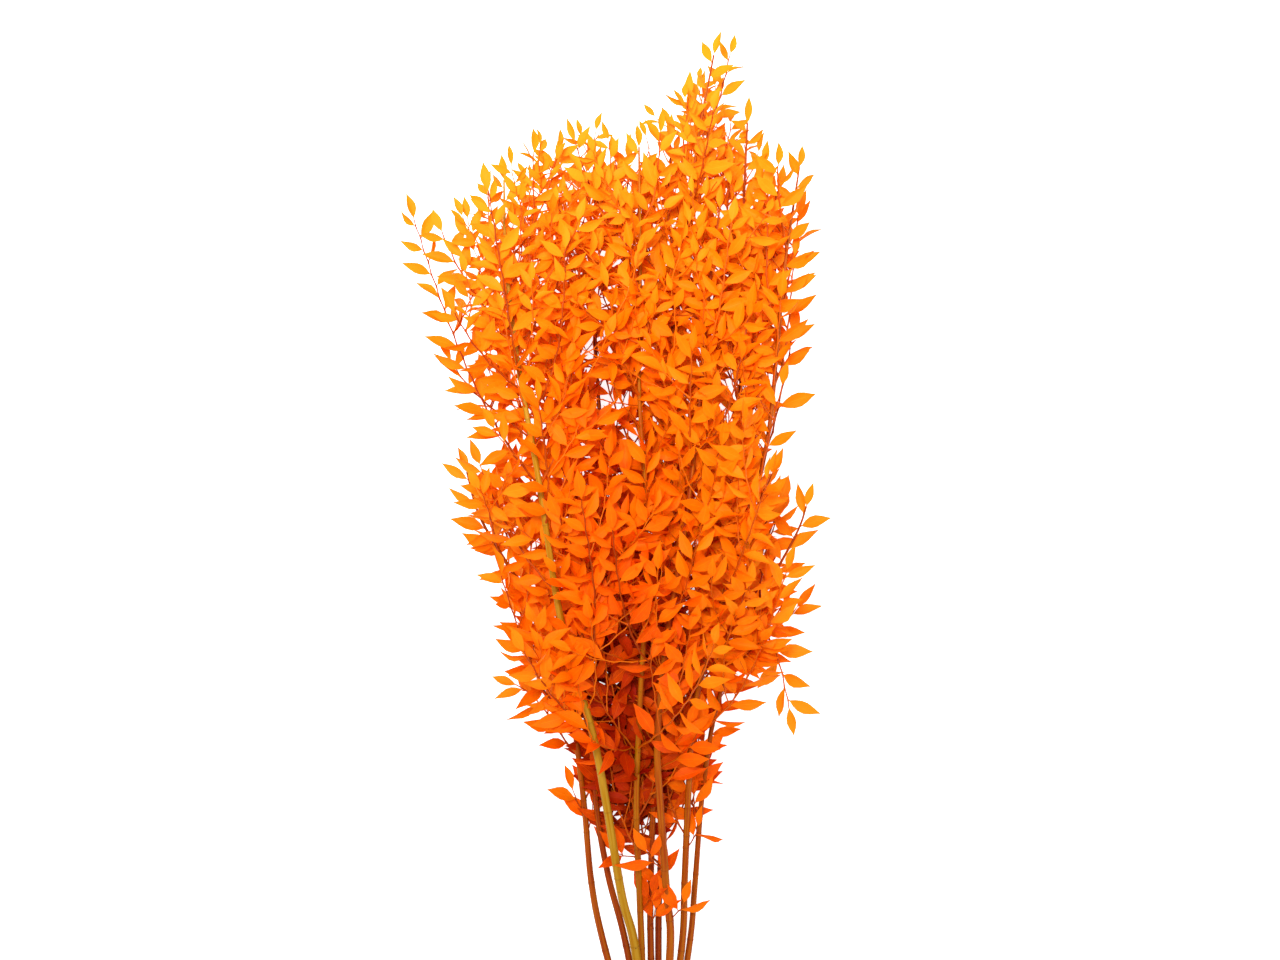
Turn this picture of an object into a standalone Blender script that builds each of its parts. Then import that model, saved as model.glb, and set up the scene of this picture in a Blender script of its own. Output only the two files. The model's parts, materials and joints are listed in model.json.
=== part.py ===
"""A bunch of nine dyed, dried ruscus stems, tied near their cut ends and laid on its side.

Each stem is one solid: a woody cane with its leafy twigs grown out of it. A rubber band holds the canes.
The bunch lies on Z = 0. The origin is under the band, +Y runs along the canes to the leafy tips and +Z is up.
All sizes here are in millimetres. They become metres where a mesh is made.
"""

import math
import random
from collections import defaultdict, namedtuple

import bmesh
import bpy
import numpy as np
from mathutils import Vector
from mathutils.bvhtree import BVHTree

METRES = 0.001

# Cut ends and band
CUT_END_Y = -66.0
CUT_END_SPREAD = 9.0
STRAIGHT_END = 34.0
CUT_END_SPLAY = 1.4
CUT_END_LIFT = 1.1
CUT_SLANT = 0.45
BAND_THICKNESS = 1.2
BAND_TURNS = 3
BAND_TURN_WIDTH = 4.4
BAND_GROOVE = 0.45
BAND_SOFT_EDGE = 0.53
BAND_SIDES = 24
SEAT_GAP = 0.3
PILE_PITCH = 7.5

# Canes
CANE_SIDES = 6
CANE_STEP = 43.0
PATH_STEP = 6.0
CANE_ROOT_SHARE = 1.04
CANE_TIP_SHARE = 0.36
CANE_TAPER = 1.15
LEADER_LENGTH = 112.0
LEADER_SINK = 5.0
LEADER_SLIMMING = 0.98

# Twigs
TWIG_ROOT_RADIUS = 1.25
TWIG_TIP_RADIUS = 0.7
STUB_ROOT_RADIUS = 0.9
TWIG_STEPS = 24
TWIG_SPACING = 53.0
SPACING_SCATTER = 0.14
LAST_TWIG = 62.0
TWIG_LENGTH = (118.0, 172.0)
TWIG_SHORTENING = 0.42
TWIG_SPREAD_DEG = (26.0, 44.0)
TWIG_LAUNCH_DEG = (42.0, 62.0)
TWIG_LEAN = 0.9
DROOP_LEAN = -0.5
GOLDEN_ANGLE_DEG = 137.5
TURN_SCATTER_DEG = 14.0
SPRAY_TILT = (-0.75, 0.75)
SPRAY_NOD = (-0.2, 0.7)
TWIG_CLEARANCE = 2.4
OWN_CANE_CLEARANCE = 0.8
ROOT_SPHERES = 4
SPHERE_STEP = 3.0
TWIG_WANDER = 2.6
TWIG_TRIES = 18
LOWEST_TIP = 7.0
TABLE_CLEARANCE = 0.25

# Leaves
LEAF_LENGTH = (24.5, 32.0)
LEAF_SLENDERNESS = (0.32, 0.4)
LEAF_SIZE_BY_Y = ((300, 1.08), (550, 1.0), (820, 0.84))
LARGEST_LEAF = 0.45
LEAF_SHRINKAGE = 0.42
LEAF_THICKNESS = 1.0
LEAF_PITCH = 9.6
LEAF_EVERY = 3
FIRST_LEAF = 12.0
LAST_LEAF = 6.0
LAST_GAP = 11.0
LEAF_ROOT = 2.4
THIN_STALK = (2.2, 0.6)
FULL_STALK = (0.8, 1.4)
LEAF_ANGLE_DEG = (52.0, 66.0)
TIP_ANGLE_LOSS_DEG = 10.0
LEAF_LIFT = 0.22
LEAF_ROLL = 0.26
LEAF_DROOP = (-0.05, 0.2)
LEAF_RINGS = ((0.36, 0.96, 1.0), (0.68, 0.68, 0.75))
LEAF_CLEARANCE = 0.45
LEAF_TRIES = 7
SMALLER_FROM_TRY = 4
SMALLER_LEAF = 0.9
LOOSER_EACH_TRY = 0.1
WIDER_EACH_TRY_DEG = 3.0

# The head's outline seen from above: (Y, left X, right X), and its height over the table: (Y, Z)
HEAD_SIDES = (
    (205, -34, 34),
    (285, -78, 58),
    (345, -106, 98),
    (425, -132, 118),
    (485, -146, 112),
    (520, -148, 92),
    (565, -150, 94),
    (605, -160, 106),
    (645, -172, 112),
    (705, -176, 112),
    (742, -128, 106),
    (775, -30, 92),
    (810, 26, 76),
)
HEAD_TOPS = ((195, 40), (285, 95), (375, 150), (515, 172), (645, 165), (745, 140), (835, 110))
TIP_MARGIN = 17.0

Stem = namedtuple("Stem", "radius first_twig route twigs drooping stubs")
Twig = namedtuple("Twig", "path length up seed root_radius")
Leaf = namedtuple("Leaf", "station side base along across face length width droop")

# Each stem: radius at the band, Y of its lowest twig by rule, the cane's route above the band as (X, Y, Z),
# then the twigs placed by eye, as (Y on the cane, tip X, tip Y, tip Z): long ones that shape the bunch's
# edge, ones whose tips hang outwards, and the few small ones low on the cane
STEMS = {
    "stem_far_left": Stem(
        3.2,
        307,
        ((-39, 135, 6), (-49, 185, 8), (-55, 250, 14), (-66, 330, 30), (-84, 385, 46),
         (-113, 433, 62), (-133, 469, 70), (-142, 501, 74)),
        ((345, -108, 407, 52), (370, -60, 475, 20), (248, -28, 318, 9)),
        ((284, -106, 338, 32),),
        ((240, -63, 256, 18), (223, -43, 241, 10)),
    ),
    "stem_left_back": Stem(
        2.9,
        295,
        ((-22, 135, 6), (-36, 190, 9), (-45, 245, 15), (-47, 307, 24), (-41, 380, 34),
         (-38, 475, 42), (-44, 575, 46), (-47, 650, 50), (-45, 717, 56)),
        ((605, -20, 737, 60), (565, -98, 681, 40), (630, -72, 738, 34), (520, -80, 642, 84),
         (198, -19, 274, 11), (222, -62, 304, 12)),
        (),
        ((241, -28, 267, 20),),
    ),
    "stem_centre_back": Stem(
        2.8,
        277,
        ((3, 135, 6), (4, 185, 9), (8, 235, 15), (21, 292, 24), (37, 360, 34), (50, 445, 40),
         (63, 535, 44), (67, 605, 50), (66, 665, 58), (70, 765, 66)),
        ((605, 84, 735, 60), (635, 56, 729, 70), (565, 44, 685, 30), (198, -13, 258, 9),
         (222, 34, 294, 9)),
        (),
        ((195, 9, 223, 17),),
    ),
    "stem_far_right": Stem(
        2.9,
        307,
        ((27, 135, 6), (31, 180, 9), (37, 255, 18), (47, 320, 34), (66, 377, 54), (90, 423, 68),
         (108, 457, 74), (114, 475, 78)),
        ((357, 108, 397, 40), (345, 88, 477, 92), (315, 66, 417, 20), (236, 17, 312, 8)),
        ((384, 102, 322, 52),),
        ((223, 30, 252, 22),),
    ),
    "stem_centre_left": Stem(
        2.8,
        291,
        ((-10, 135, 16), (-12, 185, 24), (-14, 250, 40), (-11, 330, 66), (-7, 405, 88),
         (-7, 480, 98), (-12, 565, 106), (-11, 645, 110), (-12, 743, 108)),
        ((685, 4, 753, 112), (660, -30, 735, 92), (685, -54, 721, 120), (212, -36, 286, 34),
         (236, 3, 318, 50)),
        (),
        ((205, -30, 210, 32), (163, -2, 177, 26)),
    ),
    "stem_centre_tall": Stem(
        2.8,
        271,
        ((-3, 135, 12), (-3, 185, 17), (0, 265, 30), (9, 365, 52), (13, 465, 70), (11, 545, 80),
         (14, 615, 84), (24, 685, 88), (33, 755, 92), (44, 813, 96)),
        ((655, 12, 751, 80), (685, 38, 737, 100), (725, 25, 781, 92), (605, -30, 695, 70),
         (208, -25, 282, 22), (232, 15, 306, 18)),
        (),
        ((175, 5, 197, 24), (149, -8, 167, 20)),
    ),
    "stem_right_tall": Stem(
        3.0,
        303,
        ((21, 135, 13), (23, 185, 20), (26, 260, 36), (30, 320, 54), (48, 395, 78), (69, 460, 92),
         (84, 525, 98), (91, 590, 100), (97, 655, 98), (108, 729, 96)),
        ((515, 104, 605, 80), (485, 94, 565, 120), (565, 105, 663, 84), (605, 84, 709, 120),
         (620, 108, 695, 70), (222, 10, 296, 26), (244, 32, 318, 32)),
        (),
        ((213, 33, 229, 34),),
    ),
    "stem_left_front": Stem(
        3.8,
        313,
        ((-15, 135, 25), (-25, 176, 36), (-37, 250, 58), (-47, 304, 78), (-70, 390, 108),
         (-86, 495, 132), (-101, 580, 138), (-110, 655, 132), (-112, 717, 124)),
        ((491, -180, 690, 104), (491, -60, 605, 140), (605, -158, 679, 120), (345, -54, 481, 160),
         (645, -90, 738, 120), (655, -72, 742, 104), (525, -156, 590, 96), (570, -122, 706, 158),
         (590, -56, 700, 96), (540, -66, 664, 156)),
        (),
        (),
    ),
    "stem_centre_front": Stem(
        3.4,
        297,
        ((12, 135, 22), (9, 180, 32), (4, 250, 52), (2, 300, 68), (8, 370, 90), (20, 445, 106),
         (28, 505, 112), (35, 575, 114), (40, 635, 114), (48, 697, 114)),
        ((545, -18, 665, 140), (585, 56, 685, 140), (515, 70, 620, 130)),
        (),
        ((157, 22, 171, 36), (197, -6, 211, 46)),
    ),
}
PILE_ROWS = (
    ("stem_far_left", "stem_left_back", "stem_centre_back", "stem_far_right"),
    ("stem_centre_left", "stem_centre_tall", "stem_right_tall"),
    ("stem_left_front", "stem_centre_front"),
)

DYED_ORANGE = (1.0, 0.24, 0.01, 1.0)
NATURAL_RUBBER = (0.55, 0.33, 0.12, 1.0)


def smooth_path(points, step):
    """Points every step or so along a smooth curve through the given points."""
    points = [Vector(p) for p in points]
    ends = [2 * points[0] - points[1], *points, 2 * points[-1] - points[-2]]
    path = []
    for a, b, c, d in zip(ends, ends[1:], ends[2:], ends[3:]):
        count = max(1, round((c - b).length / step))
        for i in range(count):
            t = i / count
            path.append(
                0.5 * (2 * b + (c - a) * t + (2 * a - 5 * b + 4 * c - d) * t * t
                       + (3 * b - a - 3 * c + d) * t ** 3)
            )
    return [*path, points[-1]]


def bezier_path(a, b, c, d):
    steps = [i / TWIG_STEPS for i in range(TWIG_STEPS + 1)]
    return [
        a * (1 - t) ** 3 + b * (3 * t * (1 - t) ** 2) + c * (3 * t * t * (1 - t)) + d * t ** 3
        for t in steps
    ]


def path_length(path):
    return sum((b - a).length for a, b in zip(path, path[1:]))


def along(path, distance):
    """The point at this distance along the path, and the direction there."""
    for a, b in zip(path, path[1:]):
        span = (b - a).length
        if distance <= span:
            return a + (b - a) * (distance / span), (b - a).normalized()
        distance -= span
    return path[-1].copy(), (path[-1] - path[-2]).normalized()


def at_height(path, y):
    """Distance along a cane's path at which it reaches this Y."""
    walked = 0.0
    for a, b in zip(path, path[1:]):
        if b.y >= y > a.y:
            return walked + (b - a).length * (y - a.y) / (b.y - a.y)
        walked += (b - a).length
    return walked


def square_to(vector, axis):
    return (vector - axis * vector.dot(axis)).normalized()


def look_up(table, y, column):
    ys = [row[0] for row in table]
    return float(np.interp(y, ys, [row[column] for row in table]))


# The pile of canes in the band


def rest_on(left, right, radius):
    """Centre (X, Z) of a cane lying in the cradle of two others, each given as (x, z, radius)."""
    (x1, z1, r1), (x2, z2, r2) = left, right
    d1, d2 = r1 + radius + SEAT_GAP, r2 + radius + SEAT_GAP
    base = math.hypot(x2 - x1, z2 - z1)
    run = (d1 * d1 - d2 * d2 + base * base) / (2 * base)
    rise = math.sqrt(d1 * d1 - run * run)
    ux, uz = (x2 - x1) / base, (z2 - z1) / base
    return x1 + ux * run - uz * rise, z1 + uz * run + ux * rise, radius


def pile_places():
    """(X, Z, radius) of each cane where the band holds it."""
    floor = BAND_THICKNESS + SEAT_GAP
    row = []
    for i, name in enumerate(PILE_ROWS[0]):
        radius = STEMS[name].radius
        row.append(((i - 1.5) * PILE_PITCH, floor + radius, radius))
    places = dict(zip(PILE_ROWS[0], row))
    for names in PILE_ROWS[1:]:
        row = [rest_on(a, b, STEMS[n].radius) for a, b, n in zip(row, row[1:], names)]
        places.update(zip(names, row))
    return places


def cane_path(name, places):
    """The cane from its cut end, through the band, to its tip."""
    x, z, _ = places[name]
    rng = random.Random(name)
    lift = z - BAND_THICKNESS
    end_y = CUT_END_Y + rng.uniform(-CUT_END_SPREAD, CUT_END_SPREAD)
    ends = [(x * CUT_END_SPLAY, end_y, lift * CUT_END_LIFT + BAND_THICKNESS)]
    near, far = STRAIGHT_END / 3, STRAIGHT_END
    straight = [(x, y, z) for y in (-far, -near, near, far)]
    return smooth_path([*ends, *straight, *STEMS[name].route], PATH_STEP)


def cane_radius(stem, share):
    """Radius at this share of the cane's length, thinning to the tip."""
    return stem.radius * (CANE_ROOT_SHARE - (CANE_ROOT_SHARE - CANE_TIP_SHARE) * share ** CANE_TAPER)


# Twigs


def spheres_of(path, length, radii):
    """Rows of X, Y, Z and radius along the path, for the distance test."""
    count = max(ROOT_SPHERES + 1, int(length / SPHERE_STEP))
    rows = []
    for i in range(count + 1):
        point, _ = along(path, length * i / count)
        rows.append((*point, radii[0] + (radii[1] - radii[0]) * i / count))
    return np.array(rows)


def closest(rows, others):
    """The smallest gap between two sets of spheres."""
    gaps = np.linalg.norm(rows[:, None, :3] - others[None, :, :3], axis=2)
    return float((gaps - rows[:, None, 3] - others[None, :, 3]).min())


def inside_head(tip):
    """The tip moved inside the head's outline, a leaf's reach from it."""
    left, right = look_up(HEAD_SIDES, tip.y, 1), look_up(HEAD_SIDES, tip.y, 2)
    top = look_up(HEAD_TOPS, tip.y, 1)
    return Vector((
        min(max(tip.x, left + TIP_MARGIN), right - TIP_MARGIN),
        tip.y,
        min(max(tip.z, LOWEST_TIP), top - TIP_MARGIN / 2),
    ))


def twig_path(cane, distance, tip, launch_deg, lean):
    """A twig that leaves the cane at an angle, towards its tip. Lean turns its end up along the cane."""
    root, rise = along(cane, distance)
    reach = tip - root
    outward = square_to(reach, rise)
    launch = math.radians(launch_deg)
    start = rise * math.cos(launch) + outward * math.sin(launch)
    finish = (reach.normalized() + rise * lean).normalized()
    third = reach.length / 3
    return bezier_path(root, root + start * third, tip - finish * third, tip)


def rule_twigs(name, cane):
    """(Distance on the cane, tip) of the twigs that leave it in turn round a spiral."""
    stem, rng = STEMS[name], random.Random(name + " twigs")
    first, last = at_height(cane, stem.first_twig), path_length(cane) - LAST_TWIG
    turn = rng.uniform(0, 360)
    distance = first
    while distance < last:
        root, rise = along(cane, distance)
        side = square_to(Vector((1, 0, 0)), rise)
        over = rise.cross(side)
        angle = math.radians(turn)
        outward = side * math.cos(angle) + over * math.sin(angle)
        spread = math.radians(rng.uniform(*TWIG_SPREAD_DEG))
        shrink = 1 - TWIG_SHORTENING * (distance - first) / (last - first)
        length = rng.uniform(*TWIG_LENGTH) * shrink
        reach = (rise * math.cos(spread) + outward * math.sin(spread)) * length
        yield distance, inside_head(root + reach)
        turn += GOLDEN_ANGLE_DEG + rng.uniform(-1, 1) * TURN_SCATTER_DEG
        distance += TWIG_SPACING * (1 + rng.uniform(-1, 1) * SPACING_SCATTER)


def wanted_twigs(name, cane):
    """All of a stem's side twigs as (distance on the cane, tip, root radius, lean of its end)."""
    stem = STEMS[name]
    for y, *tip in stem.stubs:
        yield at_height(cane, y), Vector(tip), STUB_ROOT_RADIUS, TWIG_LEAN
    for y, *tip in stem.drooping:
        yield at_height(cane, y), Vector(tip), TWIG_ROOT_RADIUS, DROOP_LEAN
    for y, *tip in stem.twigs:
        yield at_height(cane, y), Vector(tip), TWIG_ROOT_RADIUS, TWIG_LEAN
    for distance, tip in rule_twigs(name, cane):
        yield distance, tip, TWIG_ROOT_RADIUS, TWIG_LEAN


def facing(path, seed):
    """The way a twig's flat spray of leaves faces: mostly up, away from the table, and square to it."""
    rng = random.Random(seed)
    wish = Vector((rng.uniform(*SPRAY_TILT), rng.uniform(*SPRAY_NOD), 1.0))
    return square_to(wish, (path[-1] - path[0]).normalized())


def leaf_stations(length):
    """Distances of the side leaves along a twig, evenly spaced from near its root to near its tip."""
    span = max(length - FIRST_LEAF - LAST_LEAF, 0.0)
    count = max(1, round(span / LEAF_PITCH))
    return [FIRST_LEAF + i * span / count for i in range(count + 1)]


def stands_clear(rows, own_cane, others):
    """Whether a twig, given as spheres, keeps off the table, its own cane and everything else."""
    beyond_root = rows[ROOT_SPHERES:]
    return (
        min(rows[:, 2] - rows[:, 3]) >= TABLE_CLEARANCE
        and closest(beyond_root, own_cane) >= OWN_CANE_CLEARANCE
        and all(closest(rows, other) >= TWIG_CLEARANCE for other in others)
    )


def grow_twigs(name, cane, canes, taken):
    """The stem's twigs, each bent until it stands clear, or left out.

    Canes and taken hold the spheres of every cane and of the other stems' twigs.
    """
    rng = random.Random(name + " tries")
    others = [rows for other, rows in canes.items() if other != name] + taken
    grown, own = [], []
    for index, (distance, tip, radius, lean) in enumerate(wanted_twigs(name, cane)):
        for attempt in range(TWIG_TRIES):
            shift = Vector([rng.uniform(-1, 1) for _ in range(3)]) * TWIG_WANDER * attempt
            goal = tip + shift
            goal.z = max(goal.z, LOWEST_TIP)
            path = twig_path(cane, distance, goal, rng.uniform(*TWIG_LAUNCH_DEG), lean)
            length = path_length(path)
            rows = spheres_of(path, length, (radius, TWIG_TIP_RADIUS))
            if not stands_clear(rows, canes[name], others):
                continue
            if any(closest(rows[ROOT_SPHERES:], other) < OWN_CANE_CLEARANCE for other in own):
                continue
            own.append(rows[ROOT_SPHERES:])
            seed = f"{name} {index}"
            grown.append(Twig(path, length, facing(path, seed), seed, radius))
            break
    taken += own
    return grown


def leader_of(name, cane):
    """The leafy top of the cane itself, as a twig sunk in the cane's bare part."""
    whole = path_length(cane)
    start = whole - LEADER_LENGTH - LEADER_SINK
    marks = [start + (whole - start) * i / TWIG_STEPS for i in range(TWIG_STEPS + 1)]
    path = [along(cane, mark)[0] for mark in marks]
    radius = cane_radius(STEMS[name], start / whole) * LEADER_SLIMMING
    seed = name + " leader"
    return Twig(path, path_length(path), facing(path, seed), seed, radius)


# Leaves


def leaf_shape(leaf, grow=0.0):
    """The leaf's rings of back edge, front edge and keel, then its tip."""
    rings = []
    for share, half_width, thick in LEAF_RINGS:
        centre = leaf.base + leaf.along * (leaf.length * share)
        centre = centre - leaf.face * (leaf.droop * leaf.length * share * share)
        reach = leaf.across * (leaf.width / 2 * half_width + grow)
        centre_top = centre + leaf.face * grow
        keel = centre - leaf.face * (LEAF_THICKNESS * thick + grow)
        rings.append((centre_top - reach, centre_top + reach, keel))
    tip = leaf.base + leaf.along * (leaf.length + grow) - leaf.face * (leaf.droop * leaf.length)
    return rings, tip


def leaf_blade(leaf, grow, stalk):
    """The leaf as a closed mesh for the crossing test, from (distance out, half width) at its root."""
    away, half = stalk
    root = leaf.base + leaf.along * away
    reach = leaf.across * half
    (one, two), tip = leaf_shape(leaf, grow)
    points = [root - reach, root + reach, root - leaf.face * LEAF_THICKNESS, *one, *two, tip]
    faces = [(0, 1, 2), *tube_walls(3), *tube_walls(3, 3), (6, 7, 9), (7, 8, 9), (8, 6, 9)]
    return points, faces


class Room:
    """What already stands in the bunch, filed in cells, for the crossing test."""

    def __init__(self, cell=32.0):
        self.cell = cell
        self.cells = defaultdict(list)

    def cells_of(self, low, high):
        spans = [range(int(a // self.cell), int(b // self.cell) + 1) for a, b in zip(low, high)]
        return [(i, j, k) for i in spans[0] for j in spans[1] for k in spans[2]]

    def add(self, points, faces):
        low, high = box_of(points)
        tree = BVHTree.FromPolygons(points, faces)
        for key in self.cells_of(low, high):
            self.cells[key].append((low, high, tree))

    def meets(self, points, faces):
        low, high = box_of(points)
        tree, seen = None, set()
        for key in self.cells_of(low, high):
            for a, b, other in self.cells[key]:
                if id(other) in seen:
                    continue
                seen.add(id(other))
                if any(a[i] > high[i] or b[i] < low[i] for i in range(3)):
                    continue
                tree = tree or BVHTree.FromPolygons(points, faces)
                if tree.overlap(other):
                    return True
        return False


def box_of(points):
    return (
        [min(p[i] for p in points) for i in range(3)],
        [max(p[i] for p in points) for i in range(3)],
    )


def draw_leaf(twig, station, side, attempt, rng):
    """One leaf at this distance along the twig. Later attempts lean further from the usual pose."""
    base, rise = along(twig.path, station)
    ahead, _ = along(twig.path, min(twig.length, station + LEAF_EVERY * LEAF_PITCH))
    if side:
        rise = (ahead - base).normalized()
    up = square_to(twig.up, rise)
    sideways = rise.cross(up) * side
    loose = 1 + LOOSER_EACH_TRY * attempt
    share = station / twig.length
    size = 1 - LEAF_SHRINKAGE * abs(share - LARGEST_LEAF)
    size *= look_up(LEAF_SIZE_BY_Y, base.y, 1) * (SMALLER_LEAF if attempt >= SMALLER_FROM_TRY else 1.0)
    length = rng.uniform(*LEAF_LENGTH) * size
    width = length * rng.uniform(*LEAF_SLENDERNESS)
    if side == 0:
        direction = (rise + up * rng.uniform(-LEAF_LIFT, LEAF_LIFT)).normalized()
        across = square_to(rise.cross(up), direction)
    else:
        low, high = LEAF_ANGLE_DEG
        wider = WIDER_EACH_TRY_DEG * attempt - TIP_ANGLE_LOSS_DEG * share
        angle = math.radians(rng.uniform(low, high) + wider)
        lift = rng.uniform(-LEAF_LIFT, LEAF_LIFT) * loose
        flat = rise * math.cos(angle) + sideways * math.sin(angle)
        direction = (flat + up * lift).normalized()
        forward = rise * math.sin(angle) - sideways * math.cos(angle)
        roll = rng.uniform(-LEAF_ROLL, LEAF_ROLL) * loose
        level = square_to(forward, direction)
        across = (level * math.cos(roll) + direction.cross(level) * math.sin(roll)).normalized()
    face = across.cross(direction) * (-side or 1)
    droop = rng.uniform(*LEAF_DROOP)
    return Leaf(station, side, base, direction, across, face, length, width, droop)


def place_leaves(twig, room):
    """The twig's leaves in the solid, each turned until it crosses nothing, or left out."""
    placed = []
    for number, station in [*coarse_stations(twig), (None, twig.length)]:
        side = 0 if number is None else (1 if number % 2 else -1)
        rng = random.Random(f"{twig.seed} {number}")
        for attempt in range(LEAF_TRIES):
            leaf = draw_leaf(twig, station, side, attempt, rng)
            points, faces = leaf_blade(leaf, LEAF_CLEARANCE, THIN_STALK)
            if min(p.z for p in points) < 0 or room.meets(points, faces):
                continue
            room.add(*leaf_blade(leaf, 0.0, FULL_STALK))
            placed.append(leaf)
            break
    return placed


def coarse_stations(twig):
    """(Number, distance) of the side leaves that the solid keeps, every third of those on a real twig."""
    stations = enumerate(leaf_stations(twig.length))
    return [(i, d) for i, d in stations if i % LEAF_EVERY == 0 and d < twig.length - LAST_GAP]


# Meshes


def tube_walls(sides, start=0):
    """The faces between the ring of corners from start on and the next ring."""
    corners = [(start + k, start + (k + 1) % sides) for k in range(sides)]
    return [(a, b, b + sides, a + sides) for a, b in corners]


def tube(places, radii, sides, up):
    """Points and faces of a closed tube. Each ring has its first corner below, and up is its top."""
    points, faces = [], []
    for i, (place, radius) in enumerate(zip(places, radii)):
        after, before = places[min(i + 1, len(places) - 1)], places[max(i - 1, 0)]
        rise = (after - before).normalized()
        normal = square_to(up, rise)
        right = rise.cross(normal)
        for k in range(sides):
            angle = 2 * math.pi * k / sides - math.pi / 2
            points.append(place + (right * math.cos(angle) + normal * math.sin(angle)) * radius)
    for i in range(len(places) - 1):
        faces += tube_walls(sides, i * sides)
    faces.append(tuple(reversed(range(sides))))
    faces.append(tuple(range(len(points) - sides, len(points))))
    return points, faces


def twig_rings(twig):
    """Distances, places and radii of a twig's rings: its root, each leaf's station and its tip."""
    marks = [0.0, *[distance for _, distance in coarse_stations(twig)], twig.length]
    slim = (TWIG_TIP_RADIUS - twig.root_radius) / twig.length
    places = [along(twig.path, mark)[0] for mark in marks]
    return marks, places, [twig.root_radius + slim * mark for mark in marks]


def leafy_twig(twig, leaves):
    """One closed mesh of a three-sided twig with its leaves grown out of its sides.

    Ring corners are 0 below, 1 on the right and 2 on the left. A side leaf grows from a small triangle
    cut from the twig's side, and the last leaf grows from the twig's end.
    """
    marks, places, radii = twig_rings(twig)
    points, walls = tube(places, radii, 3, twig.up)
    *walls, root_cap, end_cap = walls
    faces = [root_cap]
    grown = {leaf.station: leaf for leaf in leaves}
    for i, wall in enumerate(walls):
        ring, side = divmod(i, 3)
        leaf = grown.get(marks[ring])
        if leaf is None or side != (0 if leaf.side > 0 else 2):
            faces.append(wall)
            continue
        a, b, beyond_b, beyond_a = wall
        start, end = points[a].lerp(points[b], 0.5), points[beyond_a].lerp(points[beyond_b], 0.5)
        front = len(points)
        points.append(start + (end - start).normalized() * LEAF_ROOT)
        faces += [(a, front, beyond_a), (front, beyond_b, beyond_a), (b, beyond_b, front)]
        back, keel = (b, a) if side == 0 else (a, b)
        grow_blade(points, faces, leaf, (back, front, keel))
    tip_leaf = grown.get(twig.length)
    if tip_leaf is None:
        faces.append(end_cap)
    else:
        below, right, left = end_cap
        grow_blade(points, faces, tip_leaf, (left, right, below))
    return points, faces


def grow_blade(points, faces, leaf, root):
    """Adds the leaf on a root triangle of back, front and keel corners."""
    rings, tip = leaf_shape(leaf)
    below = root
    for ring in rings:
        start = len(points)
        points += ring
        above = (start, start + 1, start + 2)
        for a, b in ((0, 1), (1, 2), (2, 0)):
            faces.append((below[a], below[b], above[b], above[a]))
        below = above
    points.append(tip)
    for a, b in ((0, 1), (1, 2), (2, 0)):
        faces.append((below[a], below[b], len(points) - 1))


def cane_mesh(stem, cane):
    """The bare cane, cut on a slant at its lower end and stopped where its leafy top begins."""
    whole = path_length(cane)
    first, last = at_height(cane, STRAIGHT_END), whole - LEADER_LENGTH
    count = round((last - first) / CANE_STEP)
    marks = [0.0, at_height(cane, -STRAIGHT_END)]
    marks += [first + (last - first) * i / count for i in range(count + 1)]
    places = [along(cane, mark)[0] for mark in marks]
    radii = [cane_radius(stem, mark / whole) for mark in marks]
    points, faces = tube(places, radii, CANE_SIDES, Vector((0, 0, 1)))
    for k in range(CANE_SIDES):
        points[k].y += (points[k].x - places[0].x) * CUT_SLANT
    return points, faces


def make_object(name, points, faces, material):
    triangles = [(f[0], f[k], f[k + 1]) for f in faces for k in range(1, len(f) - 1)]
    mesh = bpy.data.meshes.new(name)
    mesh.from_pydata([tuple(p * METRES) for p in points], [], triangles)
    tidy = bmesh.new()
    tidy.from_mesh(mesh)
    bmesh.ops.recalc_face_normals(tidy, faces=tidy.faces)
    tidy.to_mesh(mesh)
    tidy.free()
    mesh.materials.append(material)
    made = bpy.data.objects.new(name, mesh)
    bpy.context.scene.collection.objects.link(made)
    return made


def join_twigs(cane, twigs):
    """Fuses the twigs into their cane with one Boolean union, and removes them."""
    group = bpy.data.collections.new(cane.name + "_twigs")
    bpy.context.scene.collection.children.link(group)
    for twig in twigs:
        bpy.context.scene.collection.objects.unlink(twig)
        group.objects.link(twig)
    union = cane.modifiers.new("twigs", "BOOLEAN")
    union.operation, union.operand_type = "UNION", "COLLECTION"
    union.solver = "EXACT"
    union.collection = group
    bpy.context.view_layer.update()
    graph = bpy.context.evaluated_depsgraph_get()
    joined = bpy.data.meshes.new_from_object(cane.evaluated_get(graph))
    cane.modifiers.clear()
    cane.data = joined
    for twig in twigs:
        bpy.data.objects.remove(twig)
    bpy.data.collections.remove(group)


def band_outline(places, grow):
    """The line that a band stretched round the canes takes, this far out from them.

    It is where each of its straight sides, set round the pile at even angles, meets the next one.
    """
    turn = 2 * math.pi / BAND_SIDES
    angles = [turn * k for k in range(BAND_SIDES + 1)]
    reach = [
        max(x * math.cos(a) + z * math.sin(a) + radius for x, z, radius in places.values())
        + SEAT_GAP + grow
        for a in angles
    ]
    corners = []
    for a, b, here, there in zip(angles, angles[1:], reach, reach[1:]):
        x = here * math.sin(b) - there * math.sin(a)
        z = there * math.cos(a) - here * math.cos(b)
        corners.append(Vector((x, z)) / math.sin(turn))
    return corners


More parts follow.
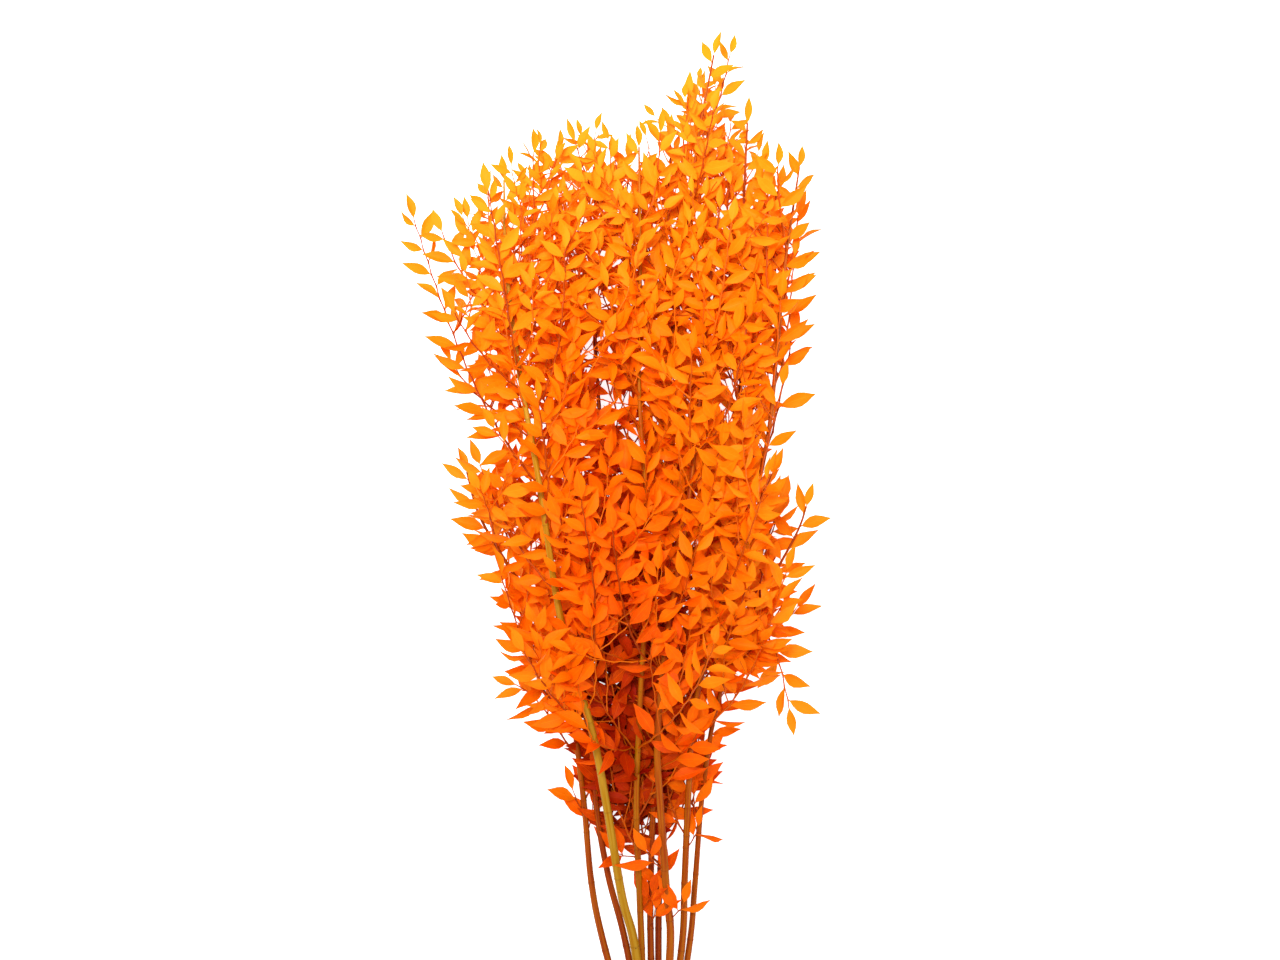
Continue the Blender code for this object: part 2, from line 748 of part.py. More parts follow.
def rubber_band(places, material):
    """Turns of a flat band side by side, as one ring that is flat where it rests on the table."""
    inner, outer = band_outline(places, 0.0), band_outline(places, BAND_THICKNESS)
    low = band_outline(places, BAND_THICKNESS - BAND_GROOVE)
    half = BAND_TURNS * BAND_TURN_WIDTH / 2
    profile = [(inner, -half), (low, -half)]
    for turn in range(BAND_TURNS):
        start = -half + turn * BAND_TURN_WIDTH
        end = start + BAND_TURN_WIDTH
        profile += [(outer, start + BAND_SOFT_EDGE), (outer, end - BAND_SOFT_EDGE)]
        profile += [(low, end)]
    profile += [(inner, half)]
    count = len(inner)
    points, faces = [], []
    for line, y in profile:
        points += [Vector((p.x, y, max(p.y, 0.0))) for p in line]
    for i in range(len(profile)):
        here, there = i * count, (i + 1) % len(profile) * count
        for k in range(count):
            n = (k + 1) % count
            faces.append((here + k, here + n, there + n, there + k))
    return make_object("rubber_band", points, faces, material)


def make_material(name, colour, roughness):
    made = bpy.data.materials.new(name)
    made.use_nodes = True
    shader = made.node_tree.nodes["Principled BSDF"]
    shader.inputs["Base Color"].default_value = colour
    shader.inputs["Roughness"].default_value = roughness
    shader.inputs["Metallic"].default_value = 0.0
    return made


def grow_bunch():
    """Where the band holds the canes, their paths, and each stem's twigs, placed so that none cross."""
    places = pile_places()
    canes = {name: cane_path(name, places) for name in STEMS}
    rows = {}
    for name, cane in canes.items():
        whole, stem = path_length(cane), STEMS[name]
        radii = (cane_radius(stem, 0), cane_radius(stem, 1))
        rows[name] = spheres_of(cane, whole, radii)
    taken = []
    twigs = {name: grow_twigs(name, canes[name], rows, taken) for name in STEMS}
    for name in STEMS:
        twigs[name].insert(0, leader_of(name, canes[name]))
    return places, canes, twigs


def fill_room(canes, twigs):
    """A room that holds every bare cane and twig, for the leaves to keep clear of."""
    room = Room()
    tubes = [(CANE_SIDES, cane_mesh(STEMS[name], cane)[0]) for name, cane in canes.items()]
    for twig in [twig for group in twigs.values() for twig in group]:
        _, places, radii = twig_rings(twig)
        tubes.append((3, tube(places, radii, 3, twig.up)[0]))
    for sides, points in tubes:
        for start in range(0, len(points) - sides, sides):
            room.add(points[start:start + 2 * sides], tube_walls(sides))
    return room


def main():
    for old in list(bpy.data.objects):
        bpy.data.objects.remove(old)
    places, canes, twigs = grow_bunch()
    room = fill_room(canes, twigs)
    leafy = make_material("dyed_dried_ruscus", DYED_ORANGE, 0.55)
    total = 0
    for name, stem in STEMS.items():
        points, faces = cane_mesh(stem, canes[name])
        cane = make_object(name, points, faces, leafy)
        sprays = []
        for twig in twigs[name]:
            leaves = place_leaves(twig, room)
            total += len(leaves)
            sprays.append(make_object("spray", *leafy_twig(twig, leaves), leafy))
        join_twigs(cane, sprays)
    rubber_band(places, make_material("rubber_band", NATURAL_RUBBER, 0.5))
    print(sum(len(t) for t in twigs.values()), "twigs,", total, "leaves")


main()
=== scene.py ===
# %% [markdown]
# This script dresses a bunch of dried ruscus that was dyed orange. Nine woody canes fan out from a rubber
# band near their cut ends into sprays of small pointed leaves. The bunch lies on its side: +Y runs along the
# canes to the leafy tips, +Z is up, and the origin is on the table under the band.
#
# The plain solids of the same bunch come first, as a fixed frame. They carry about every third leaf. Each
# finer piece below grows on the same canes and twigs and takes the place of one of those solids.

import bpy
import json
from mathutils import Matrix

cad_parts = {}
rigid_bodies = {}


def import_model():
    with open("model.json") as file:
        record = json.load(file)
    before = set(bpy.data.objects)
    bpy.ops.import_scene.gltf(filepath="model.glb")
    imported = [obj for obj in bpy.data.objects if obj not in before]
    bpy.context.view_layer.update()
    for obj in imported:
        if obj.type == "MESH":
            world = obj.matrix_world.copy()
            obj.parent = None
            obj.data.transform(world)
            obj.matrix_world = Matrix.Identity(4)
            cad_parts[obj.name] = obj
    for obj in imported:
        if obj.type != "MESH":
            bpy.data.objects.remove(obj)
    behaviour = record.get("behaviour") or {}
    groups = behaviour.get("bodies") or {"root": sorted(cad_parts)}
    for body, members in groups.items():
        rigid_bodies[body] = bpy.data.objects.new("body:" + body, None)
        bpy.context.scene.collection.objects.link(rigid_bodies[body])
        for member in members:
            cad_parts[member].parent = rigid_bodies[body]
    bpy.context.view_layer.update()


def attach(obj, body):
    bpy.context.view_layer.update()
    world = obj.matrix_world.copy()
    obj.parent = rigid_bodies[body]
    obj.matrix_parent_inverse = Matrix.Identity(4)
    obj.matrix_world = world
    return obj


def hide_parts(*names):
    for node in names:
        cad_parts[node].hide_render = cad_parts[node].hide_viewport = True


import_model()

# %% Modules and units
import json
import math
import random
from collections import namedtuple

import bmesh
import bpy
import numpy as np
from mathutils import Matrix, Vector

METRES = 0.001  # the skeleton below is in millimetres, and becomes metres where a mesh is made
BODY = "root"

# %% [markdown]
# A florist's bunch is a handful of stems with their cut ends together. The band squeezes the canes into a
# small pile, and above it each one bends away to its own place in the fan. So the skeleton starts with one
# row for each cane: how thick it is, where it runs, and where its outermost twigs end. The inner twigs follow
# a rule, further down, and aren't listed.

# %% The nine stems
CUT_END_Y = -66.0
CUT_END_SPREAD = 9.0
STRAIGHT_END = 34.0
CUT_END_SPLAY = 1.4
CUT_END_LIFT = 1.1
CUT_SLANT = 0.45
BAND_THICKNESS = 1.2
BAND_TURN_WIDTH = 4.4
SEAT_GAP = 0.3
PILE_PITCH = 7.5

Stem = namedtuple("Stem", "radius first_twig route twigs drooping stubs")

# Each stem: radius at the band, Y of its lowest twig by rule, the cane's route above the band as (X, Y, Z),
# then the listed twigs, as (Y on the cane, tip X, tip Y, tip Z): long ones that shape the bunch's edge, ones
# whose tips hang outwards, and the few small ones low on the cane
STEMS = {
    "stem_far_left": Stem(
        3.2,
        307,
        ((-39, 135, 6), (-49, 185, 8), (-55, 250, 14), (-66, 330, 30), (-84, 385, 46),
         (-113, 433, 62), (-133, 469, 70), (-142, 501, 74)),
        ((345, -108, 407, 52), (370, -60, 475, 20), (248, -28, 318, 9)),
        ((284, -106, 338, 32),),
        ((240, -63, 256, 18), (223, -43, 241, 10)),
    ),
    "stem_left_back": Stem(
        2.9,
        295,
        ((-22, 135, 6), (-36, 190, 9), (-45, 245, 15), (-47, 307, 24), (-41, 380, 34),
         (-38, 475, 42), (-44, 575, 46), (-47, 650, 50), (-45, 717, 56)),
        ((605, -20, 737, 60), (565, -98, 681, 40), (630, -72, 738, 34), (520, -80, 642, 84),
         (198, -19, 274, 11), (222, -62, 304, 12)),
        (),
        ((241, -28, 267, 20),),
    ),
    "stem_centre_back": Stem(
        2.8,
        277,
        ((3, 135, 6), (4, 185, 9), (8, 235, 15), (21, 292, 24), (37, 360, 34), (50, 445, 40),
         (63, 535, 44), (67, 605, 50), (66, 665, 58), (70, 765, 66)),
        ((605, 84, 735, 60), (635, 56, 729, 70), (565, 44, 685, 30), (198, -13, 258, 9),
         (222, 34, 294, 9)),
        (),
        ((195, 9, 223, 17),),
    ),
    "stem_far_right": Stem(
        2.9,
        307,
        ((27, 135, 6), (31, 180, 9), (37, 255, 18), (47, 320, 34), (66, 377, 54), (90, 423, 68),
         (108, 457, 74), (114, 475, 78)),
        ((357, 108, 397, 40), (345, 88, 477, 92), (315, 66, 417, 20), (236, 17, 312, 8)),
        ((384, 102, 322, 52),),
        ((223, 30, 252, 22),),
    ),
    "stem_centre_left": Stem(
        2.8,
        291,
        ((-10, 135, 16), (-12, 185, 24), (-14, 250, 40), (-11, 330, 66), (-7, 405, 88),
         (-7, 480, 98), (-12, 565, 106), (-11, 645, 110), (-12, 743, 108)),
        ((685, 4, 753, 112), (660, -30, 735, 92), (685, -54, 721, 120), (212, -36, 286, 34),
         (236, 3, 318, 50)),
        (),
        ((205, -30, 210, 32), (163, -2, 177, 26)),
    ),
    "stem_centre_tall": Stem(
        2.8,
        271,
        ((-3, 135, 12), (-3, 185, 17), (0, 265, 30), (9, 365, 52), (13, 465, 70), (11, 545, 80),
         (14, 615, 84), (24, 685, 88), (33, 755, 92), (44, 813, 96)),
        ((655, 12, 751, 80), (685, 38, 737, 100), (725, 25, 781, 92), (605, -30, 695, 70),
         (208, -25, 282, 22), (232, 15, 306, 18)),
        (),
        ((175, 5, 197, 24), (149, -8, 167, 20)),
    ),
    "stem_right_tall": Stem(
        3.0,
        303,
        ((21, 135, 13), (23, 185, 20), (26, 260, 36), (30, 320, 54), (48, 395, 78), (69, 460, 92),
         (84, 525, 98), (91, 590, 100), (97, 655, 98), (108, 729, 96)),
        ((515, 104, 605, 80), (485, 94, 565, 120), (565, 105, 663, 84), (605, 84, 709, 120),
         (620, 108, 695, 70), (222, 10, 296, 26), (244, 32, 318, 32)),
        (),
        ((213, 33, 229, 34),),
    ),
    "stem_left_front": Stem(
        3.8,
        313,
        ((-15, 135, 25), (-25, 176, 36), (-37, 250, 58), (-47, 304, 78), (-70, 390, 108),
         (-86, 495, 132), (-101, 580, 138), (-110, 655, 132), (-112, 717, 124)),
        ((491, -180, 690, 104), (491, -60, 605, 140), (605, -158, 679, 120), (345, -54, 481, 160),
         (645, -90, 738, 120), (655, -72, 742, 104), (525, -156, 590, 96), (570, -122, 706, 158),
         (590, -56, 700, 96), (540, -66, 664, 156)),
        (),
        (),
    ),
    "stem_centre_front": Stem(
        3.4,
        297,
        ((12, 135, 22), (9, 180, 32), (4, 250, 52), (2, 300, 68), (8, 370, 90), (20, 445, 106),
         (28, 505, 112), (35, 575, 114), (40, 635, 114), (48, 697, 114)),
        ((545, -18, 665, 140), (585, 56, 685, 140), (515, 70, 620, 130)),
        (),
        ((157, 22, 171, 36), (197, -6, 211, 46)),
    ),
}
PILE_ROWS = (
    ("stem_far_left", "stem_left_back", "stem_centre_back", "stem_far_right"),
    ("stem_centre_left", "stem_centre_tall", "stem_right_tall"),
    ("stem_left_front", "stem_centre_front"),
)
print(len(STEMS), "stems")

# %% [markdown]
# A cane bends smoothly, so a few listed points are enough for its route. A Catmull-Rom curve runs through
# them all and is read every few millimetres. The small helpers here measure along such a path.

# %% Paths
PATH_STEP = 6.0
TWIG_STEPS = 24


def smooth_path(points, step):
    """Points every step or so along a smooth curve through the given points."""
    points = [Vector(p) for p in points]
    ends = [2 * points[0] - points[1], *points, 2 * points[-1] - points[-2]]
    path = []
    for a, b, c, d in zip(ends, ends[1:], ends[2:], ends[3:]):
        count = max(1, round((c - b).length / step))
        for i in range(count):
            t = i / count
            path.append(
                0.5 * (2 * b + (c - a) * t + (2 * a - 5 * b + 4 * c - d) * t * t
                       + (3 * b - a - 3 * c + d) * t ** 3)
            )
    return [*path, points[-1]]


def bezier_path(a, b, c, d):
    """A cubic Bezier curve from a to d as points."""
    steps = [i / TWIG_STEPS for i in range(TWIG_STEPS + 1)]
    return [
        a * (1 - t) ** 3 + b * (3 * t * (1 - t) ** 2) + c * (3 * t * t * (1 - t)) + d * t ** 3
        for t in steps
    ]


def path_length(path):
    return sum((b - a).length for a, b in zip(path, path[1:]))


def along(path, distance):
    """The point at this distance along the path, and the direction there."""
    for a, b in zip(path, path[1:]):
        span = (b - a).length
        if distance <= span:
            return a + (b - a) * (distance / span), (b - a).normalized()
        distance -= span
    return path[-1].copy(), (path[-1] - path[-2]).normalized()


def at_height(path, y):
    """Distance along a cane's path at which it reaches this Y."""
    walked = 0.0
    for a, b in zip(path, path[1:]):
        if b.y >= y > a.y:
            return walked + (b - a).length * (y - a.y) / (b.y - a.y)
        walked += (b - a).length
    return walked


# %% Directions, and tables that change along the bunch


def square_to(vector, axis):
    """The part of a vector that is square to the axis, one unit long."""
    return (vector - axis * vector.dot(axis)).normalized()


def turned(a, b, angle):
    """The direction a turned towards b by this angle. The two are square to each other."""
    return a * math.cos(angle) + b * math.sin(angle)


def spiral_way(rise, turn_deg):
    """The way out from a cane that rises like this, turned round it by this angle."""
    side = square_to(Vector((1, 0, 0)), rise)
    return turned(side, rise.cross(side), math.radians(turn_deg))


def look_up(table, y, column):
    """What a column of the table says at this Y, in between its rows."""
    ys = [row[0] for row in table]
    return float(np.interp(y, ys, [row[column] for row in table]))


# %% [markdown]
# In the band the canes lie like a stack of logs: four on the table, three in the cradles between them and two
# on top. Each cradle's place follows from the three circles that touch there.

# %% The pile of canes in the band


def rest_on(left, right, radius):
    """Centre (X, Z) of a cane lying in the cradle of two others, each given as (x, z, radius)."""
    (x1, z1, r1), (x2, z2, r2) = left, right
    d1, d2 = r1 + radius + SEAT_GAP, r2 + radius + SEAT_GAP
    base = math.hypot(x2 - x1, z2 - z1)
    run = (d1 * d1 - d2 * d2 + base * base) / (2 * base)
    rise = math.sqrt(d1 * d1 - run * run)
    ux, uz = (x2 - x1) / base, (z2 - z1) / base
    return x1 + ux * run - uz * rise, z1 + uz * run + ux * rise, radius


def pile_places():
    """(X, Z, radius) of each cane where the band holds it."""
    floor = BAND_THICKNESS + SEAT_GAP
    row = []
    for i, name in enumerate(PILE_ROWS[0]):
        radius = STEMS[name].radius
        row.append(((i - (len(PILE_ROWS[0]) - 1) / 2) * PILE_PITCH, floor + radius, radius))
    places = dict(zip(PILE_ROWS[0], row))
    for names in PILE_ROWS[1:]:
        row = [rest_on(a, b, STEMS[n].radius) for a, b, n in zip(row, row[1:], names)]
        places.update(zip(names, row))
    return places


def cane_path(name, places):
    """The cane from its cut end, through the band, to its tip."""
    x, z, _ = places[name]
    rng = random.Random(name)
    lift = z - BAND_THICKNESS
    end_y = CUT_END_Y + rng.uniform(-CUT_END_SPREAD, CUT_END_SPREAD)
    ends = [(x * CUT_END_SPLAY, end_y, lift * CUT_END_LIFT + BAND_THICKNESS)]
    near, far = STRAIGHT_END / 3, STRAIGHT_END
    straight = [(x, y, z) for y in (-far, -near, near, far)]
    return smooth_path([*ends, *straight, *STEMS[name].route], PATH_STEP)


places = pile_places()
canes = {name: cane_path(name, places) for name in STEMS}
print("canes of", ", ".join(f"{path_length(c):.0f}" for c in canes.values()), "mm")

# %% [markdown]
# The head is the leafy part of the bunch. Seen from above, its outline is a left and a right edge that change
# on the way up the canes. Its height over the table is a third line. Twigs that are drawn by a rule end
# inside this outline, so they fill the head and leave its shape to the listed ones.

# %% The outline of the head
# Seen from above: (Y, left X, right X), and the height over the table: (Y, Z)
HEAD_SIDES = (
    (205, -34, 34),
    (285, -78, 58),
    (345, -106, 98),
    (425, -132, 118),
    (485, -146, 112),
    (520, -148, 92),
    (565, -150, 94),
    (605, -160, 106),
    (645, -172, 112),
    (705, -176, 112),
    (742, -128, 106),
    (775, -30, 92),
    (810, 26, 76),
)
HEAD_TOPS = ((195, 40), (285, 95), (375, 150), (515, 172), (645, 165), (745, 140), (835, 110))
TIP_MARGIN = 17.0
LOWEST_TIP = 7.0


def inside_head(tip):
    """The tip moved inside the head's outline, a leaf's reach from it."""
    left, right = look_up(HEAD_SIDES, tip.y, 1), look_up(HEAD_SIDES, tip.y, 2)
    top = look_up(HEAD_TOPS, tip.y, 1)
    return Vector((
        min(max(tip.x, left + TIP_MARGIN), right - TIP_MARGIN),
        tip.y,
        min(max(tip.z, LOWEST_TIP), top - TIP_MARGIN / 2),
    ))


print("head up to", max(right - left for _, left, right in HEAD_SIDES), "mm wide")

# %% [markdown]
# Ruscus twigs leave the cane in a spiral, each turned by about the golden angle from the last, and they get
# shorter towards the top. A twig starts at an angle and bends up along its cane. Where it would touch another
# one it is bent a little further, as a real twig is pushed aside in a bunch, or it is left out.

# %% A twig's path, and the way its spray faces
SPRAY_TILT = (-0.75, 0.75)
SPRAY_NOD = (-0.2, 0.7)

Twig = namedtuple("Twig", "path length up seed root_radius")


def twig_path(cane, distance, tip, launch_deg, lean):
    """A twig that leaves the cane at an angle, towards its tip. Lean turns its end up along the cane."""
    root, rise = along(cane, distance)
    reach = tip - root
    start = turned(rise, square_to(reach, rise), math.radians(launch_deg))
    finish = (reach.normalized() + rise * lean).normalized()
    third = reach.length / 3
    return bezier_path(root, root + start * third, tip - finish * third, tip)


def facing(path, seed):
    """The way a twig's flat spray of leaves faces: mostly up, away from the table, and square to it."""
    rng = random.Random(seed)
    wish = Vector((rng.uniform(*SPRAY_TILT), rng.uniform(*SPRAY_NOD), 1.0))
    return square_to(wish, (path[-1] - path[0]).normalized())


# %% Twigs by rule and listed ones
TWIG_ROOT_RADIUS = 1.25
STUB_ROOT_RADIUS = 0.9
TWIG_SPACING = 53.0
SPACING_SCATTER = 0.14
LAST_TWIG = 62.0
TWIG_LENGTH = (118.0, 172.0)
TWIG_SHORTENING = 0.42
TWIG_SPREAD_DEG = (26.0, 44.0)
GOLDEN_ANGLE_DEG = 137.5
TURN_SCATTER_DEG = 14.0
TWIG_LEAN = 0.9
DROOP_LEAN = -0.5


def rule_twigs(name, cane):
    """(Distance on the cane, tip) of the twigs that leave it in turn round a spiral."""
    rng = random.Random(name + " twigs")
    first, last = at_height(cane, STEMS[name].first_twig), path_length(cane) - LAST_TWIG
    turn = rng.uniform(0, 360)
    distance = first
    while distance < last:
        root, rise = along(cane, distance)
        spread = math.radians(rng.uniform(*TWIG_SPREAD_DEG))
        shrink = 1 - TWIG_SHORTENING * (distance - first) / (last - first)
        length = rng.uniform(*TWIG_LENGTH) * shrink
        yield distance, inside_head(root + turned(rise, spiral_way(rise, turn), spread) * length)
        turn += GOLDEN_ANGLE_DEG + rng.uniform(-1, 1) * TURN_SCATTER_DEG
        distance += TWIG_SPACING * (1 + rng.uniform(-1, 1) * SPACING_SCATTER)


def wanted_twigs(name, cane):
    """All of a stem's side twigs as (distance on the cane, tip, root radius, lean of its end)."""
    stem = STEMS[name]
    for placed, radius, lean in (
        (stem.stubs, STUB_ROOT_RADIUS, TWIG_LEAN),
        (stem.drooping, TWIG_ROOT_RADIUS, DROOP_LEAN),
        (stem.twigs, TWIG_ROOT_RADIUS, TWIG_LEAN),
    ):
        for y, *tip in placed:
            yield at_height(cane, y), Vector(tip), radius, lean
    for distance, tip in rule_twigs(name, cane):
        yield distance, tip, TWIG_ROOT_RADIUS, TWIG_LEAN


print("twigs wanted:", sum(len(list(wanted_twigs(name, canes[name]))) for name in STEMS))

# %% Keeping the twigs clear of each other
CANE_ROOT_SHARE = 1.04
CANE_TIP_SHARE = 0.36
CANE_TAPER = 1.15
ROOT_SPHERES = 4
SPHERE_STEP = 3.0
TABLE_CLEARANCE = 0.25
TWIG_CLEARANCE = 2.4
OWN_CANE_CLEARANCE = 0.8


def cane_radius(stem, share):
    """Radius at this share of the cane's length, thinning to the tip."""
    return stem.radius * (CANE_ROOT_SHARE - (CANE_ROOT_SHARE - CANE_TIP_SHARE) * share ** CANE_TAPER)


def spheres_of(path, length, radii):
    """Rows of X, Y, Z and radius along the path, for the distance test."""
    count = max(ROOT_SPHERES + 1, int(length / SPHERE_STEP))
    rows = []
    for i in range(count + 1):
        point, _ = along(path, length * i / count)
        rows.append((*point, radii[0] + (radii[1] - radii[0]) * i / count))
    return np.array(rows)


def closest(rows, others):
    """The smallest gap between two sets of spheres."""
    gaps = np.linalg.norm(rows[:, None, :3] - others[None, :, :3], axis=2)
    return float((gaps - rows[:, None, 3] - others[None, :, 3]).min())


def stands_clear(rows, own_cane, others):
    """Whether a twig, given as spheres, keeps off the table, its own cane and everything else."""
    beyond_root = rows[ROOT_SPHERES:]
    return (
        min(rows[:, 2] - rows[:, 3]) >= TABLE_CLEARANCE
        and closest(beyond_root, own_cane) >= OWN_CANE_CLEARANCE
        and all(closest(rows, other) >= TWIG_CLEARANCE for other in others)
    )


cane_spheres = {}
for name, cane in canes.items():
    ends = cane_radius(STEMS[name], 0), cane_radius(STEMS[name], 1)
    cane_spheres[name] = spheres_of(cane, path_length(cane), ends)
print(sum(len(rows) for rows in cane_spheres.values()), "spheres stand for the canes")

# %% Growing the twigs
TWIG_TIP_RADIUS = 0.7
TWIG_LAUNCH_DEG = (42.0, 62.0)
TWIG_WANDER = 2.6
TWIG_TRIES = 18


def grow_twigs(name, taken):
    """The stem's twigs, each bent until it stands clear, or left out.

    Taken holds the spheres of the twigs grown so far on other stems, and gets this stem's own.
    """
    cane, rng = canes[name], random.Random(name + " tries")
    others = [rows for other, rows in cane_spheres.items() if other != name] + taken
    grown, own = [], []
    for index, (distance, tip, radius, lean) in enumerate(wanted_twigs(name, cane)):
        for attempt in range(TWIG_TRIES):
            shift = Vector([rng.uniform(-1, 1) for _ in range(3)]) * TWIG_WANDER * attempt
            goal = tip + shift
            goal.z = max(goal.z, LOWEST_TIP)
            path = twig_path(cane, distance, goal, rng.uniform(*TWIG_LAUNCH_DEG), lean)
            length = path_length(path)
            rows = spheres_of(path, length, (radius, TWIG_TIP_RADIUS))
            if not stands_clear(rows, cane_spheres[name], others):
                continue
            if any(closest(rows[ROOT_SPHERES:], other) < OWN_CANE_CLEARANCE for other in own):
                continue
            own.append(rows[ROOT_SPHERES:])
            seed = f"{name} {index}"
            grown.append(Twig(path, length, facing(path, seed), seed, radius))
            break
    taken += own
    return grown


taken = []
twigs = {name: grow_twigs(name, taken) for name in STEMS}
print(sum(len(t) for t in twigs.values()), "twigs")

# %% The leafy tops of the canes
LEADER_LENGTH = 112.0
LEADER_SINK = 5.0
LEADER_SLIMMING = 0.98


def leader_of(name):
    """The leafy top of the cane itself, as a twig sunk in the cane's bare part."""
    cane, whole = canes[name], path_length(canes[name])
    start = whole - LEADER_LENGTH - LEADER_SINK
    marks = [start + (whole - start) * i / TWIG_STEPS for i in range(TWIG_STEPS + 1)]
    path = [along(cane, mark)[0] for mark in marks]
    radius = cane_radius(STEMS[name], start / whole) * LEADER_SLIMMING
    seed = name + " leader"
    return Twig(path, path_length(path), facing(path, seed), seed, radius)


leaders = {name: leader_of(name) for name in STEMS}
print(len(leaders), "leafy tops")

# %% [markdown]
# Leaves sit along a twig in two flat rows, left and right in turn, like the barbs of a feather. They are
# longest near the middle of the twig, and one closes its tip. A long twig also branches: where a few of its
# leaves stand, a shorter and thinner shoot grows instead, in nearly the same plane. Short shoots grow on the
# canes themselves too. All of them are too many for the plain solids, so they are only here. They fill the
# head, end well inside its outline, and leave open a few windows and a hollow low in the middle.

# %% Places of the leaves
LEAF_PITCH = 9.6
SHOOT_LEAF_PITCH = 7.6
FIRST_LEAF = 12.0
LAST_LEAF = 6.0


def is_shoot(twig):
    return "shoot" in twig.seed


def leaf_stations(twig):
    """Distances of the side leaves along a twig, evenly spaced from near its root to near its tip."""
    span = max(twig.length - FIRST_LEAF - LAST_LEAF, 0.0)
    count = max(1, round(span / (SHOOT_LEAF_PITCH if is_shoot(twig) else LEAF_PITCH)))
    return [FIRST_LEAF + i * span / count for i in range(count + 1)]


print("leaves on the first twig:", len(leaf_stations(twigs["stem_far_left"][0])))

# %% Windows and hollow
# Where the table shows through the foliage: (X, Y, half width, half height). The last two keep the sides of
# the bare canes free
WINDOWS = (
    (-48, 592, 10, 14),
    (-39, 560, 10, 11),
    (-42, 630, 9, 9),
    (-22, 556, 7, 13),
    (-14, 530, 10, 7),
    (55, 560, 9, 26),
    (103, 522, 26, 30),
    (106, 566, 22, 20),
    (-60, 742, 7, 7),
    (-112, 700, 8, 8),
    (-28, 668, 12, 8),
    (-4, 742, 12, 12),
    (52, 700, 10, 9),
    (-66, 272, 13, 24),
    (62, 226, 14, 34),
)
# Where only the deeper leaves show, and the highest Z of what stays there
HOLLOW = (-22, 332, 30, 58)
HOLLOW_TOP = 84.0
SHOOT_MARGIN = 26.0


def in_ellipse(point, x, y, half_width, half_height):
    """Whether the point is over an ellipse that lies flat."""
    return ((point.x - x) / half_width) ** 2 + ((point.y - y) / half_height) ** 2 < 1


def in_hollow(point):
    return point.z > HOLLOW_TOP and in_ellipse(point, *HOLLOW)


def in_window(point):
    return any(in_ellipse(point, *window) for window in WINDOWS)


def deep_inside(point):
    """Whether the point is well inside the head, so that the bays between its sprays stay open."""
    left, right = look_up(HEAD_SIDES, point.y, 1), look_up(HEAD_SIDES, point.y, 2)
    top = look_up(HEAD_TOPS, point.y, 1) - SHOOT_MARGIN / 2
    return left + SHOOT_MARGIN < point.x < right - SHOOT_MARGIN and LOWEST_TIP < point.z < top


print(len(WINDOWS), "windows")

# %% Shoots on the twigs
SHOOTS_FROM_LENGTH = 76.0
LOW_IN_THE_BUNCH = 430.0
SHOOT_PLACES = (0.14, 0.29, 0.44, 0.59, 0.74)
LOW_SHOOT_PLACES = (0.14, 0.24, 0.34, 0.44, 0.54, 0.64, 0.74)
SHOOT_SHARE = (0.4, 0.58)
SHOOT_SPREAD_DEG = (26.0, 42.0)
SHOOT_LIFT = (-0.35, 0.45)
SHOOT_RADIUS = 0.85
SHOOT_CLEARANCE = 0.3
SHOOT_TRIES = 8
all_canes = np.vstack(list(cane_spheres.values()))


def make_shoot(path, seed):
    return Twig(path, path_length(path), facing(path, seed), seed, SHOOT_RADIUS)


def has_room(shoot):
    """Whether a shoot ends deep inside the head, and not in the hollow, and keeps off all the canes."""
    spheres = spheres_of(shoot.path, shoot.length, (SHOOT_RADIUS, SHOOT_RADIUS))[ROOT_SPHERES:]
    tip = shoot.path[-1]
    return deep_inside(tip) and not in_hollow(tip) and closest(spheres, all_canes) >= SHOOT_CLEARANCE


def draw_shoot(twig, place, side, rng):
    """Path of a side shoot near this share of the twig's length. Side is 1 for right and -1 for left."""
    distance = min(leaf_stations(twig), key=lambda d: abs(d - place * twig.length))
    root, rise = along(twig.path, distance)
    up = square_to(twig.up, rise)
    outward = (rise.cross(up) * side + up * rng.uniform(*SHOOT_LIFT)).normalized()
    spread = math.radians(rng.uniform(*SHOOT_SPREAD_DEG))
    length = twig.length * rng.uniform(*SHOOT_SHARE)
    tip = root + turned(rise, outward, spread) * length
    return twig_path(twig.path, distance, tip, rng.uniform(*TWIG_LAUNCH_DEG), TWIG_LEAN)


def side_shoots(twig):
    """A long twig's side shoots. Each is drawn again until it has room, a few times."""
    if twig.length < SHOOTS_FROM_LENGTH:
        return []
    grown = []
    first_side = random.Random(twig.seed + " side").choice((1, -1))
    places = LOW_SHOOT_PLACES if twig.path[-1].y < LOW_IN_THE_BUNCH else SHOOT_PLACES
    for i, place in enumerate(places):
        seed = f"{twig.seed} shoot {i}"
        rng = random.Random(seed)
        for _ in range(SHOOT_TRIES):
            shoot = make_shoot(draw_shoot(twig, place, first_side * (-1) ** i, rng), seed)
            if has_room(shoot):
                grown.append(shoot)
                break
    return grown


shoots = {name: [shoot for twig in twigs[name] for shoot in side_shoots(twig)] for name in STEMS}
print(sum(len(s) for s in shoots.values()), "shoots on the twigs")

# %% Shoots on the canes
CANE_SHOOTS_FROM = 430.0
CANE_SHOOT_SPACING = 15.0
CANE_SHOOT_LENGTH = (42.0, 74.0)
